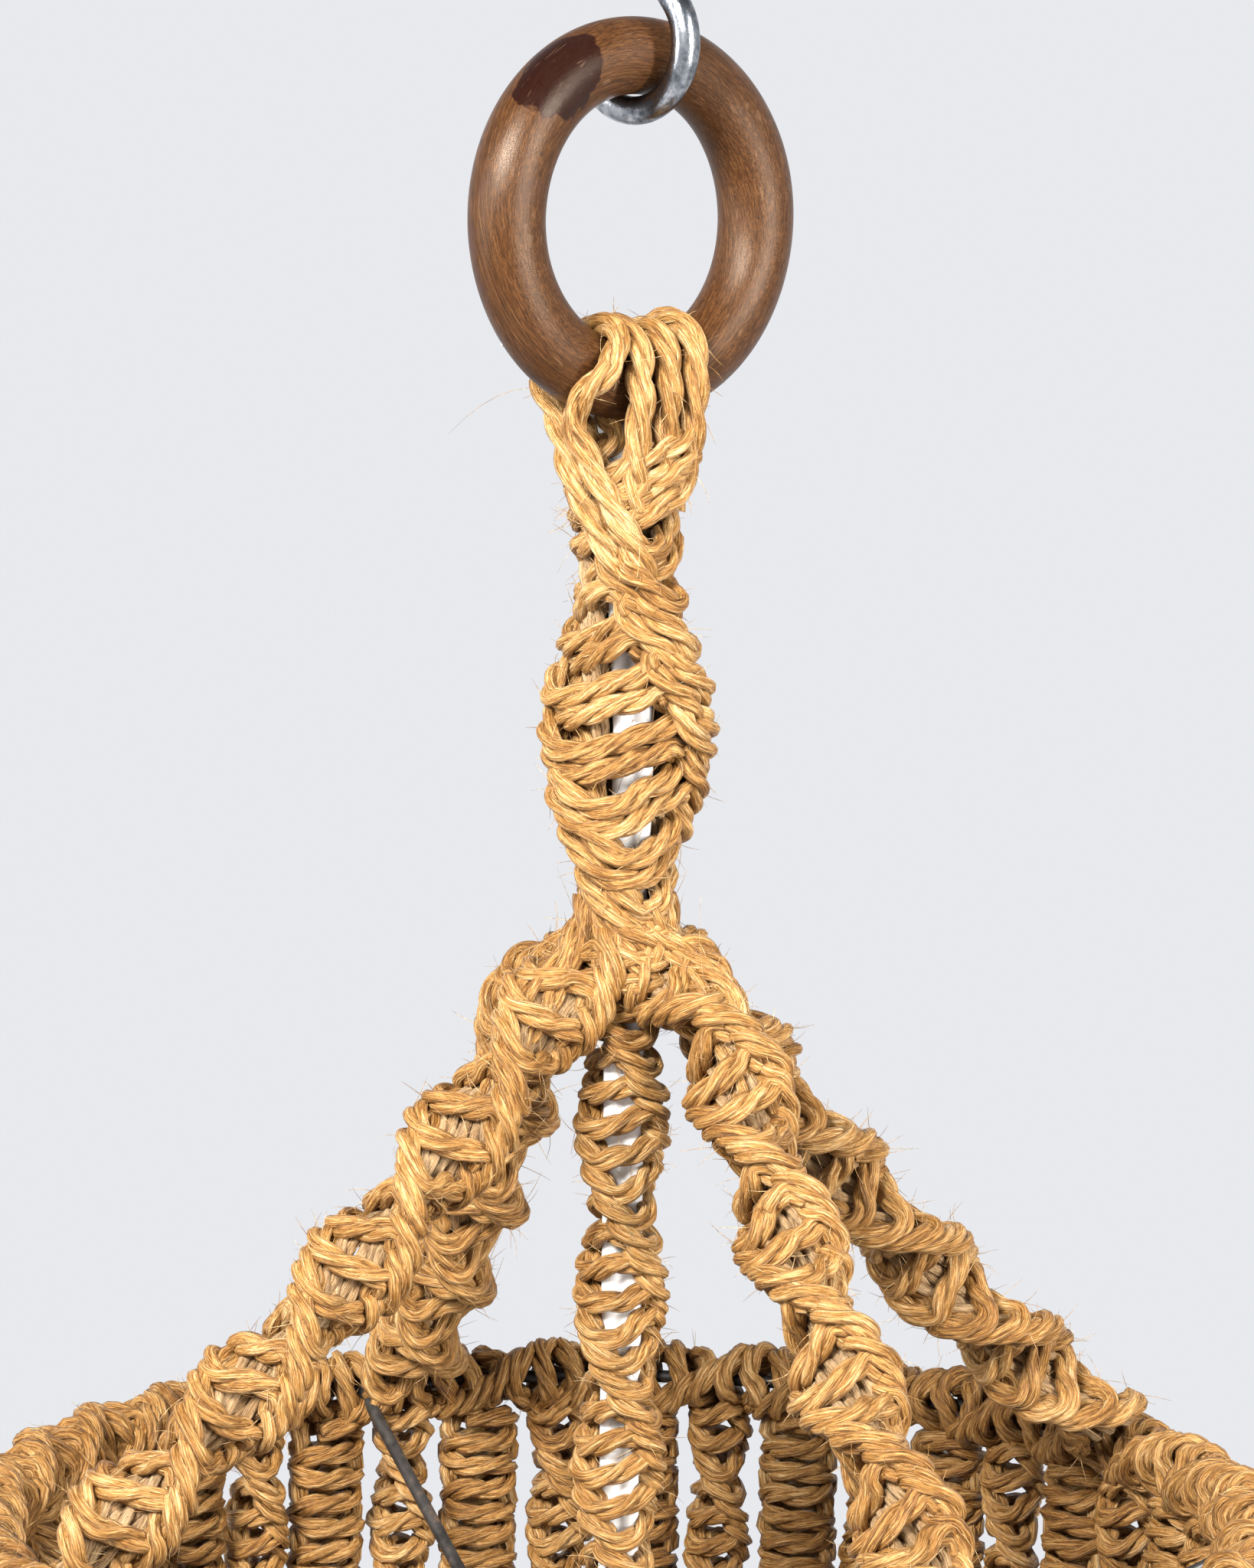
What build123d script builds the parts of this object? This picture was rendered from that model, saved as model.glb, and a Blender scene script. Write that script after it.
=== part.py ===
"""Rope pendant lamp: knotted sisal cords hung from a turned wooden ring on a steel S-hook.

Millimetres, +Z up. The origin is where the lamp hangs, on the inside of the hook's upper bow.
+X lies in the plane of the wooden ring. The lamp's own axis is the Z axis.
"""
from build123d import *
import os
from math import asin, atan2, cos, degrees, radians, sin, sqrt

# ---- driving dimensions -------------------------------------------------------------------
ROPE_D = 5.0                 # three-strand sisal cord

HOOK_ROD_D = 5.0
HOOK_BOW_R = 11.5            # centre line of both bows
HOOK_BOW_SPACING = 36.0      # between the centres of the bows
HOOK_TURN = -81.0            # heading of the hook's own plane, nearly square to the ring
HOOK_TIP_RISE = -15.0        # degrees that each tip goes on past the bow's side; it stops short

RING_OUTER_D = 70.0
RING_TUBE_D = 13.5
RUNNING_GAP = 0.3            # between parts that move on each other

LOOP_GAP = 1.1               # slack of the cord loops round the ring's tube
LOOP_BACK_SHIFT = 3.5        # how far each loop walks along the ring as it goes over
LOOP_STATIONS = (-5.5, 1.0, 7.0)
LEFT_LOOP_STATIONS = (-13.0, -14.8)
LOOP_LENGTH = 12.5           # below the tube's centre
LOOP_CLOSING = 3.3           # each leg closes in by this much

WRAP_DEPTH = 11.8
WRAP_GAP = 0.9               # below the slanting ends of the loops
SINNET_WAIST_R = 8.7         # narrow ends of the top sinnet
SINNET_BELLY_R = 15.5
CORE_R = 6.3
CORE_BORE_R = 4.1            # leaves room for the flex

RING_TO_JUNCTION = 132.0     # ring's centre to the knot where the supports part
JUNCTION_R = 13.5
JUNCTION_HEIGHT = 16.0
JUNCTION_TO_RIM = 102.0

SUPPORT_R = 10.25
SUPPORT_CORE_R = 5.0
SUPPORT_SAG = 4.0
SUPPORT_SPREAD = {"right": -9.1, "back": 72.7, "left": 170.9, "front": 260.9}
# heading and radius where each support leaves the junction: the front and back ones start off line
SUPPORT_START = {"right": (-9.1, 16.5), "back": (100.0, 20.5), "left": (170.9, 16.5), "front": (281.0, 20.6)}

RIM_R = 114.0                # centre line of the two rims
RIM_COVER_R = 7.2
WIRE_D = 2.5
DRUM_HEIGHT = 200.0          # between the planes of the two rims
PAIRS_OF_COLUMNS = 22        # one flat and one spiral column in each pair
FIRST_COLUMN = 48.2          # heading of a flat column
FLAT_COLUMN = (9.0, 16.0)    # through the wall, along the wall
SPIRAL_COLUMN_R = 6.2
FRINGE_LENGTH = 50.0
FRINGE_R = 4.5

SPIDER_DROP = 46.0           # rim plane down to the hub
SPIDER_ARMS = 3
FIRST_ARM = 77.2
HUB_OUTER_R = 27.0
HUB_INNER_R = 20.2
HUB_THICK = 1.6

CENTRE_SINNET_R = 8.5
FLEX_WIDTH = 7.2             # twin flex, two cores side by side
FLEX_THICK = 3.6

HOLDER_WALL = 2.2
NECK_WALL = 1.6
SKIRT_R = 19.3               # outside of the holder's threaded skirt
FLANGE_R = 23.0
FLANGE_THICK = 2.2
SOCKET_R = 13.4              # inside of the E27 screw shell
SOCKET_LENGTH = 24.0
LAMP_GAP = 0.6               # free height between a seated lamp cap and the contact carrier
SHELL_WALL = 0.5
SHADE_RING_R = 26.0
SHADE_RING_HEIGHT = 8.0
BLOCK = (9.0, 7.0, 12.0)     # two-way terminal block
BLOCK_HOLE_R = 1.3
BLOCK_SCREW_R = 1.2

TOUCH = 0.1                  # gap where two soft pieces lie against each other

# ---- heights worked out from them ---------------------------------------------------------
hook_top_z = HOOK_ROD_D / 2 - HOOK_BOW_R
hook_low_z = hook_top_z - HOOK_BOW_SPACING
ring_r = (RING_OUTER_D - RING_TUBE_D) / 2
tube_r = RING_TUBE_D / 2
ring_top_z = hook_low_z - HOOK_BOW_R + HOOK_ROD_D / 2 + RUNNING_GAP + tube_r
ring_z = ring_top_z - ring_r
ring_low_z = ring_z - ring_r
loop_end_z = ring_low_z - LOOP_LENGTH
sinnet_top_z = loop_end_z - WRAP_DEPTH
junction_z = ring_z - RING_TO_JUNCTION
sinnet_low_z = junction_z + 4.0
junction_low_z = sinnet_low_z - JUNCTION_HEIGHT
rim_z = junction_z - JUNCTION_TO_RIM
low_rim_z = rim_z - DRUM_HEIGHT
hub_z = rim_z - SPIDER_DROP
flange_z = hub_z + HUB_THICK / 2 + TOUCH
skirt_top_z = flange_z + FLANGE_THICK + 6.0
skirt_low_z = skirt_top_z - 46.0
cap_low_z = flange_z + FLANGE_THICK + TOUCH
cap_top_z = skirt_top_z + 22.0
insert_low_z = skirt_top_z - 16.0
centre_low_z = cap_top_z + 0.5

FOLDER = "parts"
os.makedirs(FOLDER, exist_ok=True)


# ---- helpers ------------------------------------------------------------------------------
def save(name, *solids):
    """Writes one sub-part, which may be several separate solids."""
    shape = solids[0] if len(solids) == 1 else Compound(children=list(solids))
    shape.label = name
    export_step(shape, f"{FOLDER}/{name}.step")


def at(heading, radius, z=0.0):
    """A point at a compass heading and radius round the lamp's axis."""
    return Vector(radius * cos(radians(heading)), radius * sin(radians(heading)), z)


def rod(path, radius):
    """A round rod along a path."""
    return sweep(Plane(origin=path @ 0, z_dir=path % 0) * Circle(radius), path=path)


def turned(points):
    """A solid of revolution from (radius, z) points joined by straight lines."""
    outline = Polyline(*[(r, 0, z) for r, z in points], close=True)
    return revolve(make_face(outline.edges()), axis=Axis.Z)


def tube(outer, inner, low, high):
    """An upright sleeve."""
    return turned([(inner, low), (outer, low), (outer, high), (inner, high)])


def wire_ring(radius, thick, z):
    """A closed ring of round wire lying flat."""
    return Pos(0, 0, z) * Torus(radius, thick / 2)


# ---- what it hangs by ---------------------------------------------------------------------
def hanging_hook():
    """S-hook bent from one rod: two equal bows, joined by the line that touches both."""
    lean = degrees(asin(2 * HOOK_BOW_R / HOOK_BOW_SPACING))
    side = at(HOOK_TURN, 1)
    across = Plane(origin=(0, 0, 0), x_dir=side, z_dir=side.cross(Vector(0, 0, 1)))
    low = CenterArc((0, hook_low_z), HOOK_BOW_R, 180 - HOOK_TIP_RISE, 180 + HOOK_TIP_RISE + lean)
    high = CenterArc((0, hook_top_z), HOOK_BOW_R, 180 + lean, -(180 + lean + HOOK_TIP_RISE))
    path = across * Wire([low.edge(), Line(low @ 1, high @ 0).edge(), high.edge()])
    body = rod(path, HOOK_ROD_D / 2)
    for end in (0, 1):
        body += Pos(*(path @ end)) * Sphere(HOOK_ROD_D / 2)
    return body


def wood_ring():
    """Turned ring, round in section, standing in the XZ plane."""
    return Pos(0, 0, ring_z) * Rot(90, 0, 0) * Torus(ring_r, tube_r)


def tube_centre_z(station):
    """Height of the ring's centre line at a distance along X near its lowest point."""
    return ring_z - sqrt(ring_r**2 - station**2)


def cord_loop(front, back):
    """One cord over the ring: up the front, over the tube and down the back."""
    reach = tube_r + LOOP_GAP + ROPE_D / 2
    tops = []
    for station in (front, back):
        lean = cos(asin(station / ring_r))
        tops.append(tube_centre_z(station) + reach / lean)
    ends = reach - LOOP_CLOSING
    points = [
        (front, -ends, loop_end_z),
        (front, -reach, ring_low_z - 1.5),
        (front, -reach, tops[0]),
        (back, reach, tops[1]),
        (back, reach, ring_low_z - 1.5),
        (back, ends, loop_end_z),
    ]
    return rod(FilletPolyline(*points, radius=(6.0, reach - 1.2, reach - 1.2, 6.0)), ROPE_D / 2)


def ring_loops():
    """The loops that carry the lamp on the ring."""
    loops = [cord_loop(*LEFT_LOOP_STATIONS)]
    for station in LOOP_STATIONS:
        loops.append(cord_loop(station, station + LOOP_BACK_SHIFT))
    return loops


def gathering_wrap():
    """The turns of cord that draw the loops together under the ring."""
    middle = (LEFT_LOOP_STATIONS[1] + LOOP_STATIONS[-1] + LOOP_BACK_SHIFT) / 2
    length = LOOP_STATIONS[-1] + LOOP_BACK_SHIFT - LEFT_LOOP_STATIONS[1] + ROPE_D
    top = Plane.XY.offset(loop_end_z - WRAP_GAP) * Pos(middle, 0) * RectangleRounded(length, 19.4, 7)
    low = Plane.XY.offset(sinnet_top_z) * Circle(SINNET_WAIST_R + 0.6)
    return largest(loft([top.face(), low.face()]) - flex_passage())


# ---- the top sinnet and the supports --------------------------------------------------------
def top_sinnet():
    """Half-knot spiral of doubled cord, wide at its belly, round its core."""
    belly_z = (sinnet_top_z + sinnet_low_z) / 2 - 3
    side = Spline(
        (SINNET_WAIST_R, 0, sinnet_low_z),
        (SINNET_BELLY_R, 0, belly_z),
        (SINNET_WAIST_R, 0, sinnet_top_z - TOUCH),
        tangents=((0.25, 0, 1), (-0.25, 0, 1)),
    )
    bore = CORE_R + TOUCH
    inner = Polyline(side @ 1, (bore, 0, sinnet_top_z - TOUCH), (bore, 0, sinnet_low_z), side @ 0)
    return revolve(make_face([side.edge()] + list(inner.edges())), axis=Axis.Z)


def top_sinnet_core():
    """The straight filler cords inside the top sinnet."""
    return tube(CORE_R, CORE_BORE_R, sinnet_low_z, sinnet_top_z - 10.0)


def junction_outline(grow=0.0):
    """(radius, z) points of the knot where the four supports part."""
    top = sinnet_low_z - TOUCH + grow
    low = junction_low_z - grow
    wide = JUNCTION_R + grow
    return [
        (CORE_BORE_R, top),
        (SINNET_WAIST_R + grow, top),
        (wide, top - 5.0),
        (wide, low + 4.0),
        (wide - 4.0, low),
        (CORE_BORE_R, low),
    ]


def support_path(side):
    """The hanging line of one support, from the junction down to the rim."""
    start = at(*SUPPORT_START[side], junction_z - 8.5)
    end = at(SUPPORT_SPREAD[side], RIM_R - 2.0, rim_z + 3.0)
    run = end - start
    middle = (start + end) / 2
    inward = run.cross(Vector(0, 0, 1)).cross(run).normalized()
    if inward.Z > 0:
        inward = inward * -1
    return ThreePointArc(start, middle + inward * SUPPORT_SAG, end)


def support(side):
    """One support sinnet as (knots, core), both cut back from the junction and the rim."""
    path = support_path(side)
    keep_off = turned(junction_outline(TOUCH)) + wire_ring(RIM_R, 2 * (RIM_COVER_R + TOUCH), rim_z)
    knots = rod(path, SUPPORT_R) - rod(path, SUPPORT_CORE_R + TOUCH) - keep_off
    core = rod(path, SUPPORT_CORE_R) - keep_off
    return largest(knots), largest(core)


def largest(shape):
    """The biggest solid of a cut shape, without the crumbs."""
    return max(shape.solids(), key=lambda solid: solid.volume)


# ---- the drum -------------------------------------------------------------------------------
def rim_cover(z, slot_lean):
    """Knots round a rim wire. A slot on the inside takes the wire and the spider's arms."""
    centre = Plane(origin=(RIM_R, 0, z), x_dir=(1, 0, 0), z_dir=(0, -1, 0))
    slot = Rot(0, 0, slot_lean) * Pos(-RIM_COVER_R / 2 - 1, 0) * Rectangle(RIM_COVER_R + 2, 3.0)
    section = Circle(RIM_COVER_R) - Circle(WIRE_D / 2 + TOUCH) - slot
    return revolve(centre * section, axis=Axis.Z)


def side_of(heading):
    """The name of the quarter of the drum that a heading is in."""
    names = ["right", "back", "left", "front"]
    starts = [SUPPORT_SPREAD[name] for name in names]
    turn = (heading - starts[0]) % 360
    quarter = sum(turn >= start - starts[0] for start in starts) - 1
    return names[quarter] + "_to_" + names[(quarter + 1) % len(names)]


def by_side(first_heading, make):
    """Makes one solid at each pair of columns and groups them by quarter."""
    groups = {}
    for index in range(PAIRS_OF_COLUMNS):
        heading = first_heading + index * 360 / PAIRS_OF_COLUMNS
        groups.setdefault(side_of(heading), []).append(make(heading))
    return groups


def flat_column(heading):
    """Square-knot column: a flat band with rounded edges."""
    height = DRUM_HEIGHT - 2 * (RIM_COVER_R + TOUCH)
    band = extrude(RectangleRounded(*FLAT_COLUMN, radius=3.5), amount=height)
    low = low_rim_z + RIM_COVER_R + TOUCH
    return Pos(*at(heading, RIM_R, low)) * Rot(0, 0, heading) * band


def spiral_column(heading):
    """Half-knot column: round, as its band turns about itself."""
    height = DRUM_HEIGHT - 2 * (RIM_COVER_R + TOUCH)
    low = low_rim_z + RIM_COVER_R + TOUCH
    return Pos(*at(heading, RIM_R, low + height / 2)) * Cylinder(SPIRAL_COLUMN_R, height)


def tassel(heading):
    """The cut ends of one column's cords, below the lower rim."""
    top = low_rim_z - RIM_COVER_R - TOUCH
    cone = Cone(FRINGE_R + 1.0, FRINGE_R, FRINGE_LENGTH)
    return Pos(*at(heading, RIM_R, top - FRINGE_LENGTH / 2)) * cone


# ---- spider and lamp holder -----------------------------------------------------------------
def spider_hub():
    """Flat steel ring that the lamp holder clamps."""
    return tube(HUB_OUTER_R, HUB_INNER_R, hub_z - HUB_THICK / 2, hub_z + HUB_THICK / 2)


def spider_arms():
    """Three wire arms, welded on top of the hub and to the inside of the rim wire."""
    arms = []
    for index in range(SPIDER_ARMS):
        heading = FIRST_ARM + index * 360 / SPIDER_ARMS
        weld_z = hub_z + HUB_THICK / 2 + WIRE_D / 2
        toe = at(heading, HUB_OUTER_R - 2.6, weld_z)
        knee = at(heading, HUB_OUTER_R + 6.0, weld_z)
        tip = at(heading, RIM_R - WIRE_D * 0.45, rim_z - WIRE_D * 0.25)
        arms.append(rod(FilletPolyline(toe, knee, tip, radius=8.0), WIRE_D / 2))
    return arms


def lampholder_cap():
    """Domed cap that screws on the body and grips the flex in its neck."""
    wall = HOLDER_WALL
    return turned([
        (4.2, cap_top_z), (8.0, cap_top_z), (9.0, cap_top_z - 8), (15.0, cap_top_z - 13),
        (SKIRT_R + 1.4, skirt_top_z + 3), (SKIRT_R + 1.4, cap_low_z),
        (SKIRT_R - 1.9, cap_low_z), (SKIRT_R - 1.9, skirt_top_z + 2),
        (15.0 - wall, cap_top_z - 15), (5.5, cap_top_z - 10), (4.2, cap_top_z - 6),
    ])


def lampholder_body():
    """Threaded skirt with the flange that the spider's hub bears on."""
    neck = SKIRT_R - 2.0
    bore = SOCKET_R + SHELL_WALL + TOUCH
    return turned([
        (bore, skirt_low_z), (SKIRT_R, skirt_low_z), (SKIRT_R, flange_z), (FLANGE_R, flange_z),
        (FLANGE_R, flange_z + FLANGE_THICK), (neck, flange_z + FLANGE_THICK),
        (neck, skirt_top_z), (neck - NECK_WALL, skirt_top_z),
        (neck - NECK_WALL, insert_low_z - TOUCH), (bore, insert_low_z - TOUCH),
    ])


def contact_carrier():
    """Insulating disc that carries the contacts and the terminals."""
    radius = SKIRT_R - 2.0 - NECK_WALL - TOUCH
    disc = Pos(0, 0, (insert_low_z + skirt_top_z) / 2) * Cylinder(radius, skirt_top_z - insert_low_z)
    for sign in (-1, 1):
        disc -= Pos(sign * 8.0, 0, skirt_top_z - 4.0) * Box(6.0, 8.0, 8.1)
    slot = Pos(0, 0, insert_low_z + 2.0) * Box(9.0, 5.4, 4.1)
    lamp_recess = Pos(0, 0, insert_low_z) * Cylinder(SOCKET_R + 0.2, 2 * LAMP_GAP)
    return disc - slot - lamp_recess


def socket_shell():
    """Metal screw shell that takes the lamp's cap."""
    high = insert_low_z - TOUCH
    return tube(SOCKET_R + SHELL_WALL, SOCKET_R, high - SOCKET_LENGTH, high)


def centre_contact():
    """Sprung brass leaf that presses on the lamp's tip."""
    high = insert_low_z + 3.9
    thick = 0.7
    line = [(-4.0, 0), (2.4, -2.4), (4.0, -1.8)]
    upper = [(x, 0, high + z) for x, z in line]
    lower = [(x, 0, high + z - thick) for x, z in reversed(line)]
    return extrude(make_face(Polyline(*upper, *lower, close=True).edges()), amount=2.4, both=True)


def holder_terminals():
    """Two brass terminals with their screws, in the carrier's pockets."""
    pieces = []
    for sign in (-1, 1):
        block = Pos(sign * 8.0, 0, skirt_top_z - 4.2) * Box(5.0, 6.5, 7.0)
        head = Pos(sign * 8.0, 0, skirt_top_z + 0.4) * Cylinder(2.2, 2.2)
        slit = Pos(sign * 8.0, 0, skirt_top_z + 1.3) * Box(5.0, 0.7, 0.9)
        pieces.append(block + head - slit)
    return pieces


def shade_ring():
    """Knurled ring that screws up the skirt and clamps the hub."""
    high = hub_z - HUB_THICK / 2 - RUNNING_GAP
    low = high - SHADE_RING_HEIGHT
    ring = tube(SHADE_RING_R, SKIRT_R + RUNNING_GAP, low, high)
    grooves = 24
    for index in range(grooves):
        heading = index * 360 / grooves
        ring -= Pos(*at(heading, SHADE_RING_R + 0.5, low + 2.5)) * Cylinder(1.4, 5.2)
    return ring


# ---- flex -------------------------------------------------------------------------------------
def flex_section():
    """Two cores side by side, with a groove between them."""
    core = FLEX_THICK / 2
    lobes = Pos(-core, 0) * Circle(core) + Pos(core, 0) * Circle(core)
    return lobes + Rectangle(FLEX_THICK, FLEX_THICK * 0.62)


FLEX_POINTS = [
    (0, 0, cap_top_z - 9.0),
    (0, 0, sinnet_top_z - 3.2),
    (-8.2, 2.5, loop_end_z - 2.5),
    (-8.4, 13.4, ring_low_z - 1.7),
    (-7.6, 18.4, ring_low_z + 7.0),
]
FLEX_RADII = (22.0, 23.0, 30.0)


def flex_path():
    """The flex's line: straight through the sinnets, out between two loops, up behind the ring."""
    return FilletPolyline(*FLEX_POINTS, radius=FLEX_RADII)


def along_flex(section):
    """A section carried along the flex's line."""
    path = flex_path()
    return sweep(Plane(origin=path @ 0, x_dir=(1, 0, 0), z_dir=path % 0) * section, path=path)


def flex():
    """The white twin flex, from the holder's cap up through both sinnets to its terminals."""
    return along_flex(flex_section())


def flex_passage():
    """The room that the flex needs where it leaves through the gathering wrap."""
    return along_flex(SlotOverall(FLEX_WIDTH + 2 * TOUCH, FLEX_THICK + 2 * TOUCH))


def terminal_block():
    """Two-way block on the flex's upper end, for the supply's wires, as (block, screws)."""
    wide, deep, tall = BLOCK
    path = flex_path()
    base = Plane(origin=path @ 1, x_dir=(1, 0, 0.2), z_dir=path % 1) * Pos(0, 0, TOUCH + tall / 2)
    block = base * Box(wide, deep, tall)
    screws = []
    for sign in (-1, 1):
        block -= base * Pos(sign * wide / 4, 0, tall / 2 - 3.0) * Cylinder(BLOCK_HOLE_R, 6.1)
        for level in (-1, 1):
            hole = base * Pos(sign * wide / 4, deep / 4, level * tall / 4) * Rot(90, 0, 0)
            block -= hole * Cylinder(BLOCK_SCREW_R + 0.15, deep / 2 + 0.2)
            screws.append(hole * Pos(0, 0, 0.2) * Cylinder(BLOCK_SCREW_R, deep / 2 - 1.0))
    return block, screws


# ---- write every sub-part ---------------------------------------------------------------------
save("hanging_hook", hanging_hook())
save("wood_ring", wood_ring())
save("ring_loops", *ring_loops())
save("gathering_wrap", gathering_wrap())
save("top_sinnet", top_sinnet())
save("top_sinnet_core", top_sinnet_core())
save("junction_knot", turned(junction_outline()))

for side in SUPPORT_SPREAD:
    knots, core = support(side)
    save(f"support_{side}", knots)
    save(f"support_core_{side}", core)

arm_lean = degrees(atan2(SPIDER_DROP, RIM_R - HUB_OUTER_R))
for name, level in (("upper", rim_z), ("lower", low_rim_z)):
    save(f"rim_wire_{name}", wire_ring(RIM_R, WIRE_D, level))
    save(f"rim_cover_{name}", rim_cover(level, arm_lean))

pair_step = 360 / PAIRS_OF_COLUMNS
for side, columns in by_side(FIRST_COLUMN, flat_column).items():
    save(f"flat_columns_{side}", *columns)
for side, columns in by_side(FIRST_COLUMN + pair_step / 2, spiral_column).items():
    save(f"spiral_columns_{side}", *columns)
for side, ends in by_side(FIRST_COLUMN, tassel).items():
    save(f"fringe_flat_{side}", *ends)
for side, ends in by_side(FIRST_COLUMN + pair_step / 2, tassel).items():
    save(f"fringe_spiral_{side}", *ends)

save("spider_hub", spider_hub())
save("spider_arms", *spider_arms())
save("centre_sinnet", tube(CENTRE_SINNET_R, CORE_BORE_R, centre_low_z, junction_low_z - TOUCH))
save("lampholder_cap", lampholder_cap())
save("lampholder_body", lampholder_body())
save("contact_carrier", contact_carrier())
save("socket_shell", socket_shell())
save("centre_contact", centre_contact())
save("holder_terminals", *holder_terminals())
save("shade_ring", shade_ring())
save("flex", flex())
block, block_screws = terminal_block()
save("terminal_block", block)
save("terminal_screws", *block_screws)
print("flex length", round(flex_path().length, 1), "radii", FLEX_RADII)
print("rim", round(rim_z, 1), "lower rim", round(low_rim_z, 1), "hub", round(hub_z, 1))
print("ring centre", round(ring_z, 2), "junction", round(junction_z, 1), "cap top", round(cap_top_z, 1))
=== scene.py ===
# %% [markdown]
# # A knotted rope pendant lamp
# The lamp hangs from a steel S-hook and a wooden ring. Sisal cords come down from the ring, are knotted
# into a thick sinnet, part into four thinner sinnets and carry a drum of knotted cord. A white flex runs
# down the middle to the lamp holder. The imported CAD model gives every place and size, so each piece
# here is drawn round the node that it stands for, and the script starts by loading that frame.

# %% Load the frame
import math

import bpy
import numpy as np
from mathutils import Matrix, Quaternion, Vector


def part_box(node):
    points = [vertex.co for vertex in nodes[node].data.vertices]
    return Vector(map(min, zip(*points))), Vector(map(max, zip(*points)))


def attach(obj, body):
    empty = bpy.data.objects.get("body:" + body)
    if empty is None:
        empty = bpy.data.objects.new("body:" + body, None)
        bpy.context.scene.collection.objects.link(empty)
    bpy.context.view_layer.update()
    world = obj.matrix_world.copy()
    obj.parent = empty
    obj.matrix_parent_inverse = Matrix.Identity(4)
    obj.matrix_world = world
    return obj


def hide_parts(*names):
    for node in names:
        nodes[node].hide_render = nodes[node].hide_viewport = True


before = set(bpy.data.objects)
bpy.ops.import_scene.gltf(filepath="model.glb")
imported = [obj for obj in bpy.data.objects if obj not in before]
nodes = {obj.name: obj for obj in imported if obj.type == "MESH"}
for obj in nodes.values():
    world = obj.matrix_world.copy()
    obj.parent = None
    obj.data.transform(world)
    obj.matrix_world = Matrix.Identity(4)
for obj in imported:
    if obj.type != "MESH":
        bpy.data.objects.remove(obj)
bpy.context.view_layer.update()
MM = 0.001


# %% [markdown]
# ## Reading places from the frame
# Working in millimetres keeps the numbers near those a rope maker would say. A node's box gives the
# places that several pieces share: the ring's centre, the planes of the two rims and the lamp's heights.

# %% Shared heights and radii, in millimetres
def node_box(name):
    """A node's lowest and highest corners, in millimetres."""
    low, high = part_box(name)
    return np.array(low) / MM, np.array(high) / MM


ring_low, ring_high = node_box("wood_ring")
TUBE_R = (ring_high[1] - ring_low[1]) / 2
RING_R = (ring_high[0] - ring_low[0]) / 2 - TUBE_R
RING_Z = (ring_high[2] + ring_low[2]) / 2
wire_low, wire_high = node_box("rim_wire_upper")
WIRE_R = (wire_high[2] - wire_low[2]) / 2
RIM_R = wire_high[0] - WIRE_R
RIM_Z = (wire_high[2] + wire_low[2]) / 2
LOW_RIM_Z = np.mean([node_box("rim_wire_lower")[0][2], node_box("rim_wire_lower")[1][2]])
SINNET_TOP_Z = node_box("top_sinnet")[1][2]
SINNET_LOW_Z = node_box("top_sinnet")[0][2]
LOOP_END_Z = node_box("ring_loops")[0][2]
CENTRE_TOP_Z = node_box("centre_sinnet")[1][2]
CENTRE_LOW_Z = node_box("centre_sinnet")[0][2]
JUNCTION_Z = SINNET_LOW_Z - 4.0
print("ring", RING_R, TUBE_R, RING_Z, "rims", RIM_R, RIM_Z, LOW_RIM_Z)

# %% [markdown]
# ## The camera
# The lamp is looked at from a little above, close up, so that the ring fills the top of the view and
# the drum runs out of it below. Giving the camera a heading, a pitch and an aim point on the lamp's
# axis is easier to correct than typing its place, because each value changes one thing in the view.

# %% Camera
LOOK_HEADING = math.radians(50.2)
LOOK_DOWN = math.radians(7.0)
LOOK_ROLL = math.radians(-0.67)
LOOK_DISTANCE = 0.900
AIM_RISE = 32.6               # how far above the junction the camera aims
AIM = Vector((0, 0, (JUNCTION_Z + AIM_RISE) * MM))
look = Vector((
    math.cos(LOOK_HEADING) * math.cos(LOOK_DOWN),
    math.sin(LOOK_HEADING) * math.cos(LOOK_DOWN),
    -math.sin(LOOK_DOWN),
))
camera_data = bpy.data.cameras.new("camera")
camera_data.lens = 116.8
camera_data.sensor_width = 36.0
camera = bpy.data.objects.new("camera", camera_data)
bpy.context.scene.collection.objects.link(camera)
camera.location = AIM - look * LOOK_DISTANCE
camera.rotation_mode = "QUATERNION"
camera.rotation_quaternion = Quaternion(look, LOOK_ROLL) @ look.to_track_quat("-Z", "Y")
bpy.context.scene.camera = camera
VIEW_RIGHT = Vector((math.sin(LOOK_HEADING), -math.cos(LOOK_HEADING), 0))
VIEW_FRONT = Vector((-math.cos(LOOK_HEADING), -math.sin(LOOK_HEADING), 0))
print("camera at", [round(c, 4) for c in camera.location])

# %% [markdown]
# ## Light and floor
# A product table has a pale sweep and large soft boxes in a darker room. The world gives the even pale
# light that comes from the sweep all round, and falls to dark grey overhead and underfoot, which gives
# bright metal something dark to reflect. The area lights give direction: a strong key in front, a
# little to the left and above, and a tall strip at each side that draws long highlights on the ring.

# %% Lights
world = bpy.data.worlds.new("pale_sweep")
bpy.context.scene.world = world
world.use_nodes = True
sky = world.node_tree.nodes
background = sky["Background"]
direction = sky.new("ShaderNodeTexCoord").outputs["Generated"]
height = sky.new("ShaderNodeSeparateXYZ")
dome = sky.new("ShaderNodeValToRGB")
level = sky.new("ShaderNodeMapRange")
level.inputs["From Min"].default_value = -1.0
for start, end in (
    (direction, height.inputs[0]),
    (height.outputs["Z"], level.inputs["Value"]),
    (level.outputs["Result"], dome.inputs["Fac"]),
    (dome.outputs["Color"], background.inputs["Color"]),
):
    world.node_tree.links.new(start, end)
SWEEP = (0.807, 0.818, 0.850, 1)
DARK_ROOM = (0.16, 0.16, 0.17, 1)
stops = dome.color_ramp.elements
stops[0].position, stops[0].color = 0.12, DARK_ROOM
stops[1].position, stops[1].color = 0.86, DARK_ROOM
for place in (0.24, 0.64):
    stops.new(place).color = SWEEP
bpy.context.scene.view_settings.view_transform = "Standard"


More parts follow.
